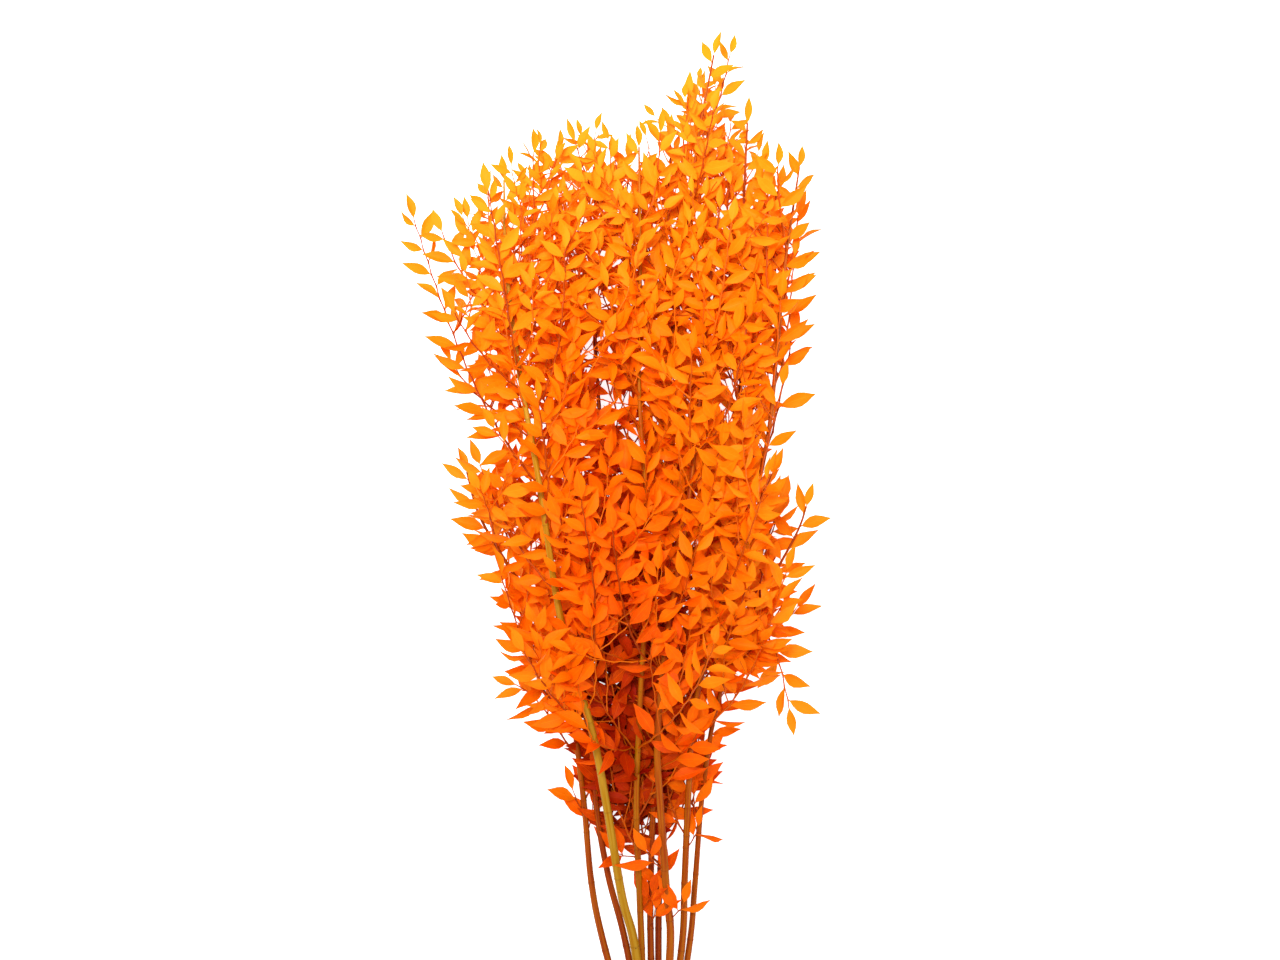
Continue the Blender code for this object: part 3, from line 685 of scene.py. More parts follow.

# Listed one by one, in front of the front canes and under the hollow: (Y on the cane, tip X, tip Y, tip Z)
PLACED_SHOOTS = {
    "stem_left_front": (
        (292, -62, 362, 118),
        (306, -84, 368, 124),
        (322, -48, 392, 132),
        (548, -112, 618, 160),
        (566, -90, 640, 164),
        (598, -118, 668, 158),
        (630, -98, 700, 156),
    ),
    "stem_centre_front": ((318, 26, 384, 120), (352, 2, 428, 136), (392, 34, 462, 140)),
    "stem_centre_back": ((282, -40, 362, 34), (290, -6, 358, 38), (304, -26, 378, 30), (320, -44, 392, 40)),
    "stem_left_back": ((276, -24, 350, 22), (292, -38, 368, 26), (306, -12, 376, 46)),
}


def cane_shoots(name):
    """Short shoots round the upper half of a cane, each turned by the golden angle from the last."""
    cane, rng = canes[name], random.Random(name + " cane shoots")
    distance, turn = at_height(cane, CANE_SHOOTS_FROM), rng.uniform(0, 360)
    grown = []
    while distance < path_length(cane) - CANE_SHOOT_LENGTH[0]:
        root, rise = along(cane, distance)
        for _ in range(SHOOT_TRIES):
            turn += GOLDEN_ANGLE_DEG
            spread = math.radians(rng.uniform(*SHOOT_SPREAD_DEG))
            reach = turned(rise, spiral_way(rise, turn), spread) * rng.uniform(*CANE_SHOOT_LENGTH)
            path = twig_path(cane, distance, root + reach, rng.uniform(*TWIG_LAUNCH_DEG), TWIG_LEAN)
            shoot = make_shoot(path, f"{name} cane shoot {len(grown)}")
            if has_room(shoot):
                grown.append(shoot)
                break
        distance += CANE_SHOOT_SPACING
    return grown


def placed_shoots(name):
    """The cane's shoots that are listed one by one."""
    grown = []
    for i, (y, *tip) in enumerate(PLACED_SHOOTS.get(name, ())):
        seed = f"{name} front shoot {i}"
        launch = random.Random(seed).uniform(*TWIG_LAUNCH_DEG)
        path = twig_path(canes[name], at_height(canes[name], y), Vector(tip), launch, TWIG_LEAN)
        grown.append(make_shoot(path, seed))
    return grown


for name in STEMS:
    shoots[name] += cane_shoots(name) + placed_shoots(name)
print(sum(len(s) for s in shoots.values()), "shoots in all")

# %% [markdown]
# Each leaf has its own seeded draws for its length, angle, roll and droop, so a leaf stays as it is when its
# neighbours change. Every third one on a twig is posed as in the plain solids. The ones between them, and
# all those on the shoots, are freer: they stand at any angle, turned about their stalks to show an edge, a
# back or a full face.

# %% One leaf on a twig
LEAF_LENGTH = (24.5, 32.0)
LARGEST_LEAF = 0.45
LEAF_SHRINKAGE = 0.42
LEAF_SIZE_BY_Y = ((300, 1.08), (550, 1.0), (820, 0.84))
SHOOT_LEAF_SIZE_BY_Y = ((300, 1.0), (450, 0.95), (600, 0.85), (800, 0.78))
LEAF_EVERY = 3
SMALLER_FROM_TRY = 4
SMALLER_LEAF = 0.9
LOOSER_EACH_TRY = 0.1
WIDER_EACH_TRY_DEG = 3.0
ZIGZAG = 0.45

Leaf = namedtuple("Leaf", "base along across face length width droop")
Pose = namedtuple("Pose", "slenderness angle_deg tip_loss_deg lift roll droop")
SOLID_POSE = Pose((0.32, 0.4), (52.0, 66.0), 10.0, 0.22, 0.26, (-0.05, 0.2))
FREE_POSE = Pose((0.31, 0.41), (34.0, 80.0), 14.0, 0.5, 1.1, (-0.1, 0.34))


def sideways_at(twig, rise):
    """The way to the right of the twig, in the plane of its leaves."""
    return rise.cross(square_to(twig.up, rise))


def draw_leaf(twig, station, side, pose, attempt, rng):
    """One leaf at this distance along the twig. Side is 1 for right, -1 for left and 0 for the tip."""
    base, rise = along(twig.path, station)
    ahead, _ = along(twig.path, min(twig.length, station + LEAF_EVERY * LEAF_PITCH))
    if side:
        rise = (ahead - base).normalized()
    up = square_to(twig.up, rise)
    sideways = rise.cross(up) * side
    loose = 1 + LOOSER_EACH_TRY * attempt
    share = station / twig.length
    size = 1 - LEAF_SHRINKAGE * abs(share - LARGEST_LEAF)
    size *= look_up(LEAF_SIZE_BY_Y, base.y, 1) * (SMALLER_LEAF if attempt >= SMALLER_FROM_TRY else 1.0)
    size *= look_up(SHOOT_LEAF_SIZE_BY_Y, base.y, 1) if is_shoot(twig) else 1.0
    length = rng.uniform(*LEAF_LENGTH) * size
    width = length * rng.uniform(*pose.slenderness)
    if side == 0:
        direction = (rise + up * rng.uniform(-pose.lift, pose.lift)).normalized()
        across = square_to(rise.cross(up), direction)
    else:
        wider = WIDER_EACH_TRY_DEG * attempt - pose.tip_loss_deg * share
        angle = math.radians(rng.uniform(*pose.angle_deg) + wider)
        lift = rng.uniform(-pose.lift, pose.lift) * loose
        direction = (turned(rise, sideways, angle) + up * lift).normalized()
        forward = rise * math.sin(angle) - sideways * math.cos(angle)
        roll = rng.uniform(-pose.roll, pose.roll) * loose
        level = square_to(forward, direction)
        across = turned(level, direction.cross(level), roll).normalized()
    face = across.cross(direction) * (-side or 1)
    return Leaf(base + sideways * ZIGZAG, direction, across, face, length, width, rng.uniform(*pose.droop))


def middle_of(leaf):
    return leaf.base + leaf.along * (leaf.length / 2)


def lowest(leaf):
    """The height of the leaf's lowest corner over the table."""
    tip = leaf.base + leaf.along * leaf.length - leaf.face * (leaf.droop * leaf.length)
    edge = leaf.across * (leaf.width / 2)
    return min(p.z for p in (tip, middle_of(leaf) - edge, middle_of(leaf) + edge))


# %% All the leaves
LEAF_TRIES = 7
BARE_SHOOTS = 0.05


def leaves_of(twig):
    """The twig's leaves as (seed, leaf). One that would reach the table is turned up, or left out."""
    grown = []
    for number, station in [*enumerate(leaf_stations(twig)), (None, twig.length)]:
        side = 0 if number is None else (1 if number % 2 else -1)
        free = is_shoot(twig) or (number or 0) % LEAF_EVERY
        seed = f"{twig.seed} {number}"
        rng = random.Random(seed)
        for attempt in range(LEAF_TRIES):
            leaf = draw_leaf(twig, station, side, FREE_POSE if free else SOLID_POSE, attempt, rng)
            middle = middle_of(leaf)
            if free and (in_hollow(middle) or in_window(middle)):
                break
            if lowest(leaf) > 0:
                grown.append((seed, leaf))
                break
    return grown


def is_bare(twig):
    return is_shoot(twig) and random.Random(twig.seed + " bare").random() < BARE_SHOOTS


leaves = {}
for name in STEMS:
    sprays = [twig for twig in (*twigs[name], *shoots[name], leaders[name]) if not is_bare(twig)]
    leaves[name] = [pair for twig in sprays for pair in leaves_of(twig)]
print(sum(len(group) for group in leaves.values()), "leaves")

# %% [markdown]
# The dried leaf has lost most of its own green pigment and holds a dye instead, so its colour is even and
# very full. It is thin and papery: part of the light goes through it, and that is what makes the bunch glow.
# Light that has passed several leaves is redder each time, so the middle of the bunch is a deep red orange.
# Colours are written as they look on a screen, and one function turns them into linear light.

# %% Helpers for materials


def linear(code):
    """Linear RGBA of an sRGB hex colour."""
    parts = [int(code[i:i + 2], 16) / 255 for i in (1, 3, 5)]
    return (*[c / 12.92 if c <= 0.04045 else ((c + 0.055) / 1.055) ** 2.4 for c in parts], 1.0)


def add(tree, kind, inputs=None, **settings):
    """Adds a node to a tree. Each input, by name or number, gets a value, a socket or a node's first one."""
    made = tree.nodes.new(kind)
    for key, value in settings.items():
        setattr(made, key, value)
    for key, value in (inputs or {}).items():
        if isinstance(value, bpy.types.Node):
            value = value.outputs[0]
        if isinstance(value, bpy.types.NodeSocket):
            tree.links.new(value, made.inputs[key])
        else:
            made.inputs[key].default_value = value
    return made


def ramp(tree, factor, stops):
    """A colour that changes with the factor through these (place, hex colour) stops."""
    made = add(tree, "ShaderNodeValToRGB", {0: factor})
    elements = made.color_ramp.elements
    for place, _ in stops[1:-1]:
        elements.new(place)
    for element, (place, code) in zip(elements, stops):
        element.position = place
        element.color = linear(code)
    return made.outputs[0]


def new_material(name):
    """An empty material's node tree, with its output node."""
    made = bpy.data.materials.new(name)
    made.use_nodes = True
    made.node_tree.nodes.clear()
    return made, made.node_tree, add(made.node_tree, "ShaderNodeOutputMaterial")


# %% [markdown]
# What looks like a ruscus leaf is a flattened shoot, and its veins run side by side from base to tip, about
# 1.2 mm apart. The leaf's own UV map has U across it, from edge to edge, and V along it, so lines of even U
# draw in towards both ends just as those veins do. The dye takes unevenly: it pools in a few blotches of some
# millimetres, and the midrib stays paler. The thin rim is paler too, partly as a paler margin and partly as a
# painted highlight where its edge catches the light. All of these move one shade number up or down, and one
# ramp turns it into a colour, from the brick red of the painted shade deep in the bunch to the yellow of its
# tips.

# %% Leaf: dyed and bleached ruscus, dried in glycerine, satin and translucent
VEIN_SPACING = 1.2
LEAF_WIDTH = 10.0
BLOTCH = 7.0
BLOTCH_SHADE, VEIN_SHADE, MIDRIB_SHADE, RIM_PALENESS_AND_HIGHLIGHT = 0.2, 0.03, 0.09, 0.07
MIDRIB_HALF, RIM_START = 0.05, 0.42  # from the leaf's middle line, as shares of its width
LIGHT_THROUGH = 0.42
LEAF_SHADES = ((0.0, "#BC1A00"), (0.25, "#D43E00"), (0.5, "#FF6C00"), (0.75, "#FF8A00"), (1.0, "#FFA418"))

dyed_leaf, tree, output = new_material("dyed_ruscus_leaf")
uv = add(tree, "ShaderNodeUVMap", uv_map="leaf")
across = add(tree, "ShaderNodeSeparateXYZ", {0: uv})
tone = add(tree, "ShaderNodeAttribute", attribute_name="tone")
place = add(tree, "ShaderNodeTexCoord")
blotch = add(tree, "ShaderNodeTexNoise", {"Vector": place.outputs["Object"], "Scale": 1 / (BLOTCH * METRES)})
off_middle = add(tree, "ShaderNodeMath", {0: across.outputs["X"], 1: 0.5}, operation="SUBTRACT")
off_middle = add(tree, "ShaderNodeMath", {0: off_middle}, operation="ABSOLUTE")
vein_turn = 2 * math.pi * LEAF_WIDTH / VEIN_SPACING
veins = add(tree, "ShaderNodeMath", {0: across.outputs["X"], 1: vein_turn}, operation="MULTIPLY")
veins = add(tree, "ShaderNodeMath", {0: veins}, operation="SINE")
midrib = add(
    tree, "ShaderNodeMapRange",
    {"Value": off_middle, "From Min": MIDRIB_HALF, "From Max": 0.015, "To Max": MIDRIB_SHADE},
)
# painted highlight, in part: the rim is made paler for its thin margin and for light caught on the edge
rim = add(
    tree, "ShaderNodeMapRange",
    {"Value": off_middle, "From Min": RIM_START, "From Max": 0.5, "To Max": RIM_PALENESS_AND_HIGHLIGHT},
)
shade = add(
    tree, "ShaderNodeMath",
    {0: blotch.outputs["Fac"], 1: BLOTCH_SHADE, 2: tone.outputs["Fac"]}, operation="MULTIPLY_ADD",
)
shade = add(tree, "ShaderNodeMath", {0: shade, 1: BLOTCH_SHADE / 2}, operation="SUBTRACT")
shade = add(tree, "ShaderNodeMath", {0: veins, 1: VEIN_SHADE, 2: shade}, operation="MULTIPLY_ADD")
for paler in (midrib, rim):
    shade = add(tree, "ShaderNodeMath", {0: shade, 1: paler}, operation="ADD")
colour = ramp(tree, shade, LEAF_SHADES)
bump = add(tree, "ShaderNodeBump", {"Height": veins, "Strength": 0.35, "Distance": 0.0001})
skin = add(
    tree, "ShaderNodeBsdfPrincipled",
    {
        "Base Color": colour, "Roughness": 0.5, "IOR": 1.45, "Specular IOR Level": 0.1, "Normal": bump,
    },
)
through = add(tree, "ShaderNodeBsdfTranslucent", {"Color": colour, "Normal": bump})
mixed = add(tree, "ShaderNodeMixShader", {0: LIGHT_THROUGH, 1: skin, 2: through})
tree.links.new(mixed.outputs[0], output.inputs["Surface"])
print(dyed_leaf.name, len(tree.nodes), "nodes")

# %% [markdown]
# The wood takes the dye less well than the leaves. The thickest canes stay ochre, with an olive cast where
# the bark is smooth, and the thinner ones go orange brown to rust. The young bark of the twigs takes more of
# the dye, so it has a ramp of its own. Bark has fine ridges along it, under a millimetre apart. They follow
# the cane through its bends, so the pattern reads two attributes of the tube: the way round it, as a point on
# a circle, which has no seam, and the way along.

# %% Bark of canes and twigs: dyed wood, smooth and slightly waxy
RIDGE_SPACING = 0.8
RIDGE_LENGTH = 45.0
PATCH_LENGTH = 60.0
SPECK_SPACING = 9.0
SPECK_SIZE, SPECK_SHADE = 0.075, 0.8
JOINT_DARKNESS = 0.3
PATCH_SHADE, RIDGE_SHADE = 0.45, 1.2
CANE_SHADES = ((0.0, "#701800"), (0.3, "#943600"), (0.55, "#A65200"), (0.8, "#A26C00"), (1.0, "#AE801C"))
TWIG_SHADES = ((0.0, "#742000"), (0.5, "#B04400"), (1.0, "#D86400"))
BARK_SPECK = linear("#4A1C04")


def bark_pattern(tree, size, length, around, upwards):
    """Noise in streaks of this size and length along a tube, both in mm."""
    along_it = add(tree, "ShaderNodeCombineXYZ", {2: upwards})
    across_it = add(
        tree, "ShaderNodeVectorMath", {0: around, 1: (1 / size, 1 / size, 0.0)}, operation="MULTIPLY",
    )
    place = add(
        tree, "ShaderNodeVectorMath",
        {0: along_it, 1: (0.0, 0.0, 1 / (length * METRES)), 2: across_it},
        operation="MULTIPLY_ADD",
    )
    noise = add(tree, "ShaderNodeTexNoise", {"Vector": place, "Scale": 1.0, "Detail": 3.0})
    return noise.outputs["Fac"]


def make_bark(name, shades):
    """Bark whose dye follows the attribute tone, with streaks, a few specks and darker joints."""
    made, tree, output = new_material(name)
    tone, joint, around, upwards = (
        add(tree, "ShaderNodeAttribute", attribute_name=label).outputs[read]
        for label, read in (("tone", "Fac"), ("joint", "Fac"), ("around", "Vector"), ("upwards", "Fac"))
    )
    ridges = bark_pattern(tree, RIDGE_SPACING, RIDGE_LENGTH, around, upwards)
    patches = bark_pattern(tree, 1.0, PATCH_LENGTH, around, upwards)
    shade = add(tree, "ShaderNodeMath", {0: patches, 1: PATCH_SHADE, 2: tone}, operation="MULTIPLY_ADD")
    shade = add(tree, "ShaderNodeMath", {0: ridges, 1: RIDGE_SHADE, 2: shade}, operation="MULTIPLY_ADD")
    average = (PATCH_SHADE + RIDGE_SHADE) / 2
    shade = add(tree, "ShaderNodeMath", {0: shade, 1: average}, operation="SUBTRACT")
    body = ramp(tree, shade, shades)
    place = add(tree, "ShaderNodeTexCoord")
    scale = 1 / (SPECK_SPACING * METRES)
    specks = add(tree, "ShaderNodeTexVoronoi", {"Vector": place.outputs["Object"], "Scale": scale})
    speck = add(
        tree, "ShaderNodeMapRange",
        {
            "Value": specks.outputs["Distance"], "From Min": SPECK_SIZE, "From Max": 0.05,
            "To Max": SPECK_SHADE,
        },
    )
    marks = add(tree, "ShaderNodeMath", {0: joint, 1: JOINT_DARKNESS}, operation="MULTIPLY")
    marks = add(tree, "ShaderNodeMath", {0: marks, 1: speck}, operation="MAXIMUM")
    colour = add(tree, "ShaderNodeMix", {0: marks, 6: body, 7: BARK_SPECK}, data_type="RGBA")
    bump = add(tree, "ShaderNodeBump", {"Height": ridges, "Strength": 0.5, "Distance": 0.0003})
    bark = add(
        tree, "ShaderNodeBsdfPrincipled",
        {
            "Base Color": colour.outputs[2], "Roughness": 0.45, "IOR": 1.5, "Specular IOR Level": 0.1,
            "Normal": bump,
        },
    )
    tree.links.new(bark.outputs[0], output.inputs["Surface"])
    print(name, len(tree.nodes), "nodes")
    return made


cane_bark = make_bark("dyed_cane_bark", CANE_SHADES)
twig_bark = make_bark("dyed_twig_bark", TWIG_SHADES)

# %% [markdown]
# A cane was cut across with secateurs, at a slant. The cut shows the dry pith: pale, with darker pores of the
# vessels about a third of a millimetre apart.

# %% Cut end: dry pith and open vessels
PORE_SPACING = 0.35
dry_pith, tree, output = new_material("dry_cut_pith")
place = add(tree, "ShaderNodeTexCoord")
scale = 1 / (PORE_SPACING * METRES)
pores = add(tree, "ShaderNodeTexVoronoi", {"Vector": place.outputs["Object"], "Scale": scale})
pore = add(
    tree, "ShaderNodeMapRange", {"Value": pores.outputs["Distance"], "From Min": 0.1, "From Max": 0.35},
)
colour = ramp(tree, pore, ((0.0, "#9A5A22"), (1.0, "#E2BE86")))
cut = add(tree, "ShaderNodeBsdfPrincipled", {"Base Color": colour, "Roughness": 0.85})
tree.links.new(cut.outputs[0], output.inputs["Surface"])
print(dry_pith.name)

# %% [markdown]
# Canes and twigs are both tubes along a path whose thickness changes from point to point, so one Geometry
# Nodes tree makes them all. It turns the mesh path into a curve and sweeps a circle along it, scaled at each
# point by the attribute thickness. The circle carries the attribute around, and the path carries upwards,
# tone and joint, so all of them end up on the tube for the bark to read.

# %% A Geometry Nodes tree that makes tubes


def new_tree(name, sockets):
    """A Geometry Nodes tree with these named inputs, given as (name, socket type, default)."""
    made = bpy.data.node_groups.new(name, "GeometryNodeTree")
    made.interface.new_socket(name="Geometry", in_out="INPUT", socket_type="NodeSocketGeometry")
    made.interface.new_socket(name="Geometry", in_out="OUTPUT", socket_type="NodeSocketGeometry")
    for label, kind, value in sockets:
        socket = made.interface.new_socket(name=label, in_out="INPUT", socket_type=kind)
        if value is not None:
            socket.default_value = value
    return made, add(made, "NodeGroupInput"), add(made, "NodeGroupOutput")


tube_tree, given, result = new_tree(
    "tubes_along_paths",
    [("Sides", "NodeSocketInt", 12), ("Bark", "NodeSocketMaterial", None)],
)
curve = add(tube_tree, "GeometryNodeMeshToCurve", {0: given.outputs["Geometry"]})
thickness = add(tube_tree, "GeometryNodeInputNamedAttribute", {"Name": "thickness"}, data_type="FLOAT")
circle = add(
    tube_tree, "GeometryNodeCurvePrimitiveCircle", {"Resolution": given.outputs["Sides"], "Radius": 1.0},
)
position = add(tube_tree, "GeometryNodeInputPosition")
ring = add(
    tube_tree, "GeometryNodeStoreNamedAttribute",
    {"Geometry": circle, "Name": "around", "Value": position},
    data_type="FLOAT_VECTOR", domain="POINT",
)
swept = add(
    tube_tree, "GeometryNodeCurveToMesh",
    {
        "Curve": curve, "Profile Curve": ring, "Scale": thickness,
        "Fill Caps": True,
    },
)
smooth = add(tube_tree, "GeometryNodeSetShadeSmooth", {0: swept})
real = add(tube_tree, "GeometryNodeRealizeInstances", {0: smooth})
barked = add(tube_tree, "GeometryNodeSetMaterial", {"Geometry": real, "Material": given.outputs["Bark"]})
tube_tree.links.new(barked.outputs[0], result.inputs[0])
print(tube_tree.name, len(tube_tree.nodes), "nodes")

# %% [markdown]
# A path or a set of points becomes a small mesh that carries its attributes. The tree runs on it as a
# modifier, the evaluated result is copied to a plain mesh, and the modifier is gone after that.

# %% Helpers that make meshes and run a tree


def seed_mesh(name, points, edges, attributes):
    """A mesh of bare points and edges, in metres, with attributes given as {name: (type, values)}."""
    mesh = bpy.data.meshes.new(name)
    mesh.from_pydata([tuple(p * METRES) for p in points], edges, [])
    for label, (kind, values) in attributes.items():
        layer = mesh.attributes.new(label, kind, "POINT")
        flat = np.array(values, dtype=int if kind == "INT" else float).ravel()
        layer.data.foreach_set("vector" if kind == "FLOAT_VECTOR" else "value", flat)
    made = bpy.data.objects.new(name, mesh)
    bpy.context.scene.collection.objects.link(made)
    return made


def run_tree(piece, tree, inputs, leftovers=()):
    """Runs a Geometry Nodes tree on the piece and keeps the result as its plain mesh."""
    modifier = piece.modifiers.new(tree.name, "NODES")
    modifier.node_group = tree
    for item in tree.interface.items_tree:
        if item.in_out == "INPUT" and item.name in inputs:
            modifier[item.identifier] = inputs[item.name]
    bpy.context.view_layer.update()
    evaluated = piece.evaluated_get(bpy.context.evaluated_depsgraph_get())
    mesh = bpy.data.meshes.new_from_object(evaluated)
    piece.modifiers.clear()
    piece.data = mesh
    mesh.name = piece.name
    for label in leftovers:
        if label in mesh.attributes:
            mesh.attributes.remove(mesh.attributes[label])
    return piece


def closed_mesh(name, points, faces, sharp=()):
    """A closed, smooth mesh with its faces outwards. The edges named as sets of two points stay sharp."""
    mesh = bpy.data.meshes.new(name)
    mesh.from_pydata(points, [], faces)
    work = bmesh.new()
    work.from_mesh(mesh)
    bmesh.ops.recalc_face_normals(work, faces=work.faces)
    for edge in work.edges:
        edge.smooth = frozenset(v.index for v in edge.verts) not in sharp
    for face in work.faces:
        face.smooth = True
    work.to_mesh(mesh)
    work.free()
    return mesh


def triangles(piece):
    return sum(len(p.vertices) - 2 for p in piece.data.polygons)


def belongs(piece, node):
    """Attaches the piece to the bunch's body and hides the solid of the frame that it stands for."""
    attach(piece, BODY)
    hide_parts(node)


# %% [markdown]
# A ruscus cane isn't an even rod. Where a twig leaves it there is a joint: a slight swelling with a darker
# ring, the scar of a small scale. The bare length below the twigs has joints too, some five centimetres
# apart. The tone of each cane, from 0 for rust to 1 for ochre, goes from its lower end to its top.

# %% Canes
CANE_SIDES = 14
CANE_PITCH = 4.0
BARE_JOINTS_FROM = 40.0
BARE_JOINT_SPACING = (42.0, 58.0)
JOINT_BELOW, JOINT_ABOVE = 3, 2
# The shape of a joint along the cane: (mm from the joint, swelling, darkness)
JOINT_SHAPE = ((-2.2, 0.0, 0.0), (-0.8, 0.04, 0.1), (-0.2, 0.09, 1.0), (0.2, 0.07, 0.5), (1.0, 0.02, 0.0))
CANE_TONES = {
    "stem_far_left": (0.42, 0.4),
    "stem_left_back": (0.35, 0.2),
    "stem_centre_back": (0.2, 0.3),
    "stem_far_right": (0.45, 0.4),
    "stem_centre_left": (0.55, 0.6),
    "stem_centre_tall": (0.3, 0.4),
    "stem_right_tall": (0.5, 0.4),
    "stem_left_front": (0.85, 1.0),
    "stem_centre_front": (0.5, 0.35),
}
CUT_RIM, CUT_SINK = 0.5, 0.2


def joints_of(name):
    """Distances of a cane's joints: one at each twig, and some along its bare length."""
    cane, rng = canes[name], random.Random(name + " joints")
    found = sorted(at_height(cane, twig.path[0].y) for twig in twigs[name])
    distance, first = at_height(cane, BARE_JOINTS_FROM), found[0]
    while distance < first - BARE_JOINT_SPACING[0] / 2:
        found.append(distance)
        distance += rng.uniform(*BARE_JOINT_SPACING)
    return sorted(found)


def cane_thickness(name, distance, whole):
    """The cane's radius, which runs out evenly over its leafy top."""
    bare = whole - LEADER_LENGTH
    if distance <= bare:
        return cane_radius(STEMS[name], distance / whole)
    left = (whole - distance) / LEADER_LENGTH
    return TWIG_TIP_RADIUS + (cane_radius(STEMS[name], bare / whole) - TWIG_TIP_RADIUS) * left


def make_cane(name):
    """One cane as a smooth tube with its joints, cut on a slant, with pith on the cut."""
    cane, whole = canes[name], path_length(canes[name])
    marks = {i * CANE_PITCH: (0.0, 0.0) for i in range(int(whole / CANE_PITCH))}
    marks[whole] = (0.0, 0.0)
    for at in joints_of(name):
        marks = {m: v for m, v in marks.items() if not at - JOINT_BELOW < m < at + JOINT_ABOVE}
        marks |= {at + step: (swell, dark) for step, swell, dark in JOINT_SHAPE}
    stations = sorted(m for m in marks if m <= whole)
    thick = [cane_thickness(name, m, whole) * (1 + marks[m][0]) * METRES for m in stations]
    lower, upper = CANE_TONES[name]
    shares = np.array(stations) / whole
    piece = seed_mesh(
        name + "_cane",
        [along(cane, m)[0] for m in stations],
        [(i, i + 1) for i in range(len(stations) - 1)],
        {
            "thickness": ("FLOAT", thick),
            "upwards": ("FLOAT", np.array(stations) * METRES),
            "joint": ("FLOAT", [marks[m][1] for m in stations]),
            "tone": ("FLOAT", lower + (upper - lower) * shares),
        },
    )
    run_tree(piece, tube_tree, {"Sides": CANE_SIDES, "Bark": cane_bark}, ["thickness"])
    cut_end(piece, cane[0] * METRES)
    belongs(piece, name)
    return piece


def cut_end(piece, start):
    """Slants the tube's first ring and gives the cut its rim of bark and its face of pith."""
    piece.data.materials.append(dry_pith)
    work = bmesh.new()
    work.from_mesh(piece.data)
    caps = [f for f in work.faces if len(f.verts) > 4]
    cap = min(caps, key=lambda f: (f.calc_center_median() - start).length)
    for vertex in cap.verts:
        vertex.co.y += (vertex.co.x - start.x) * CUT_SLANT
    cap.smooth = False
    for edge in cap.edges:
        edge.smooth = False
    bmesh.ops.inset_individual(work, faces=[cap], thickness=CUT_RIM * METRES, depth=-CUT_SINK * METRES)
    cap.material_index = 1
    work.to_mesh(piece.data)
    work.free()


cane_pieces = [make_cane(name) for name in STEMS]
print(len(cane_pieces), "canes,", sum(triangles(p) for p in cane_pieces), "triangles")

# %% [markdown]
# A twig is thickest where it leaves its cane, in a small collar. At every leaf it swells a little and turns
# slightly towards that leaf, so it runs in a faint zigzag, as ruscus does. All the twigs of one stem are rows
# of points in one mesh, and the same tree as for the canes turns them into tubes.

# %% Twigs
TWIG_SIDES = 7
TWIG_PITCH = 3.2
SLIMMING = 0.6
COLLAR_LENGTH = 4.5
COLLAR_SWELL = 0.55
BUD_SWELL = 0.24
TWIG_FINENESS = 0.64
TWIG_TONES = (0.2, 0.7)
SHOOT_TONES = (0.55, 1.0)


def twig_points(twig):
    """Places, radii and distances along a twig, in a zigzag that swells at each leaf."""
    stations = leaf_stations(twig)
    bends = [0.0, *stations, twig.length]
    swings = [0.0, *[ZIGZAG if i % 2 else -ZIGZAG for i in range(len(stations))], 0.0]
    end_radius = min(TWIG_TIP_RADIUS, twig.root_radius * SLIMMING)
    rows = []
    for start, end in zip(bends, bends[1:]):
        count = max(1, round((end - start) / TWIG_PITCH))
        rows += [(start + (end - start) * i / count, i == 0 and start > 0) for i in range(count)]
    points = []
    for distance, bud in [*rows, (twig.length, False)]:
        place, rise = along(twig.path, distance)
        radius = twig.root_radius + (end_radius - twig.root_radius) * distance / twig.length
        collar = COLLAR_SWELL * max(0.0, 1 - distance / COLLAR_LENGTH)
        radius *= TWIG_FINENESS + collar + BUD_SWELL * bud
        place = place + sideways_at(twig, rise) * float(np.interp(distance, bends, swings))
        points.append((place, radius * METRES, distance * METRES))
    return points


def make_twigs(name):
    """All the side twigs of a stem as one piece."""
    rows, edges = [], []
    for twig in (*twigs[name], *shoots[name]):
        found, rng = twig_points(twig), random.Random(twig.seed + " tone")
        tone = rng.uniform(*(SHOOT_TONES if is_shoot(twig) else TWIG_TONES))
        edges += [(len(rows) + i, len(rows) + i + 1) for i in range(len(found) - 1)]
        rows += [(*row, tone) for row in found]
    points, thick, upwards, tones = zip(*rows)
    piece = seed_mesh(
        name + "_twigs", points, edges,
        {
            "thickness": ("FLOAT", thick),
            "upwards": ("FLOAT", upwards),
            "joint": ("FLOAT", [0.0] * len(points)),
            "tone": ("FLOAT", tones),
        },
    )
    run_tree(piece, tube_tree, {"Sides": TWIG_SIDES, "Bark": twig_bark}, ["thickness"])
    belongs(piece, name)
    return piece


twig_pieces = [make_twigs(name) for name in STEMS]
print(sum(triangles(p) for p in twig_pieces), "triangles in the twigs")

# %% [markdown]
# Nearly 5,000 leaves are too many to model one by one, and one leaf copied that often looks like a stamp. So
# there are a few forms, each curled, folded or twisted its own way as it dried, with only a few dozen faces.
# A form is a closed blade one unit long and one wide. Its section is a thin lens: five points over the top
# and three below, so the rim is sharp and the middle is thickest.

# %% Leaf forms
LEAF_PROFILE = (
    (0.0, 0.05), (0.06, 0.05), (0.19, 0.27), (0.36, 0.45), (0.54, 0.47), (0.72, 0.32), (0.88, 0.12),
)
LEAF_SECTION = (
    (-1.0, 0.0), (-0.55, 0.0), (0.0, 0.0), (0.55, 0.0), (1.0, 0.0), (0.55, 0.7), (0.0, 1.0), (-0.55, 0.7),
)
LEAF_THICKNESS = 0.016
TIP_THINNING = 0.6
RIPPLES, RIPPLE_SHIFT = 9, 2
USUAL_SLENDERNESS = 0.36

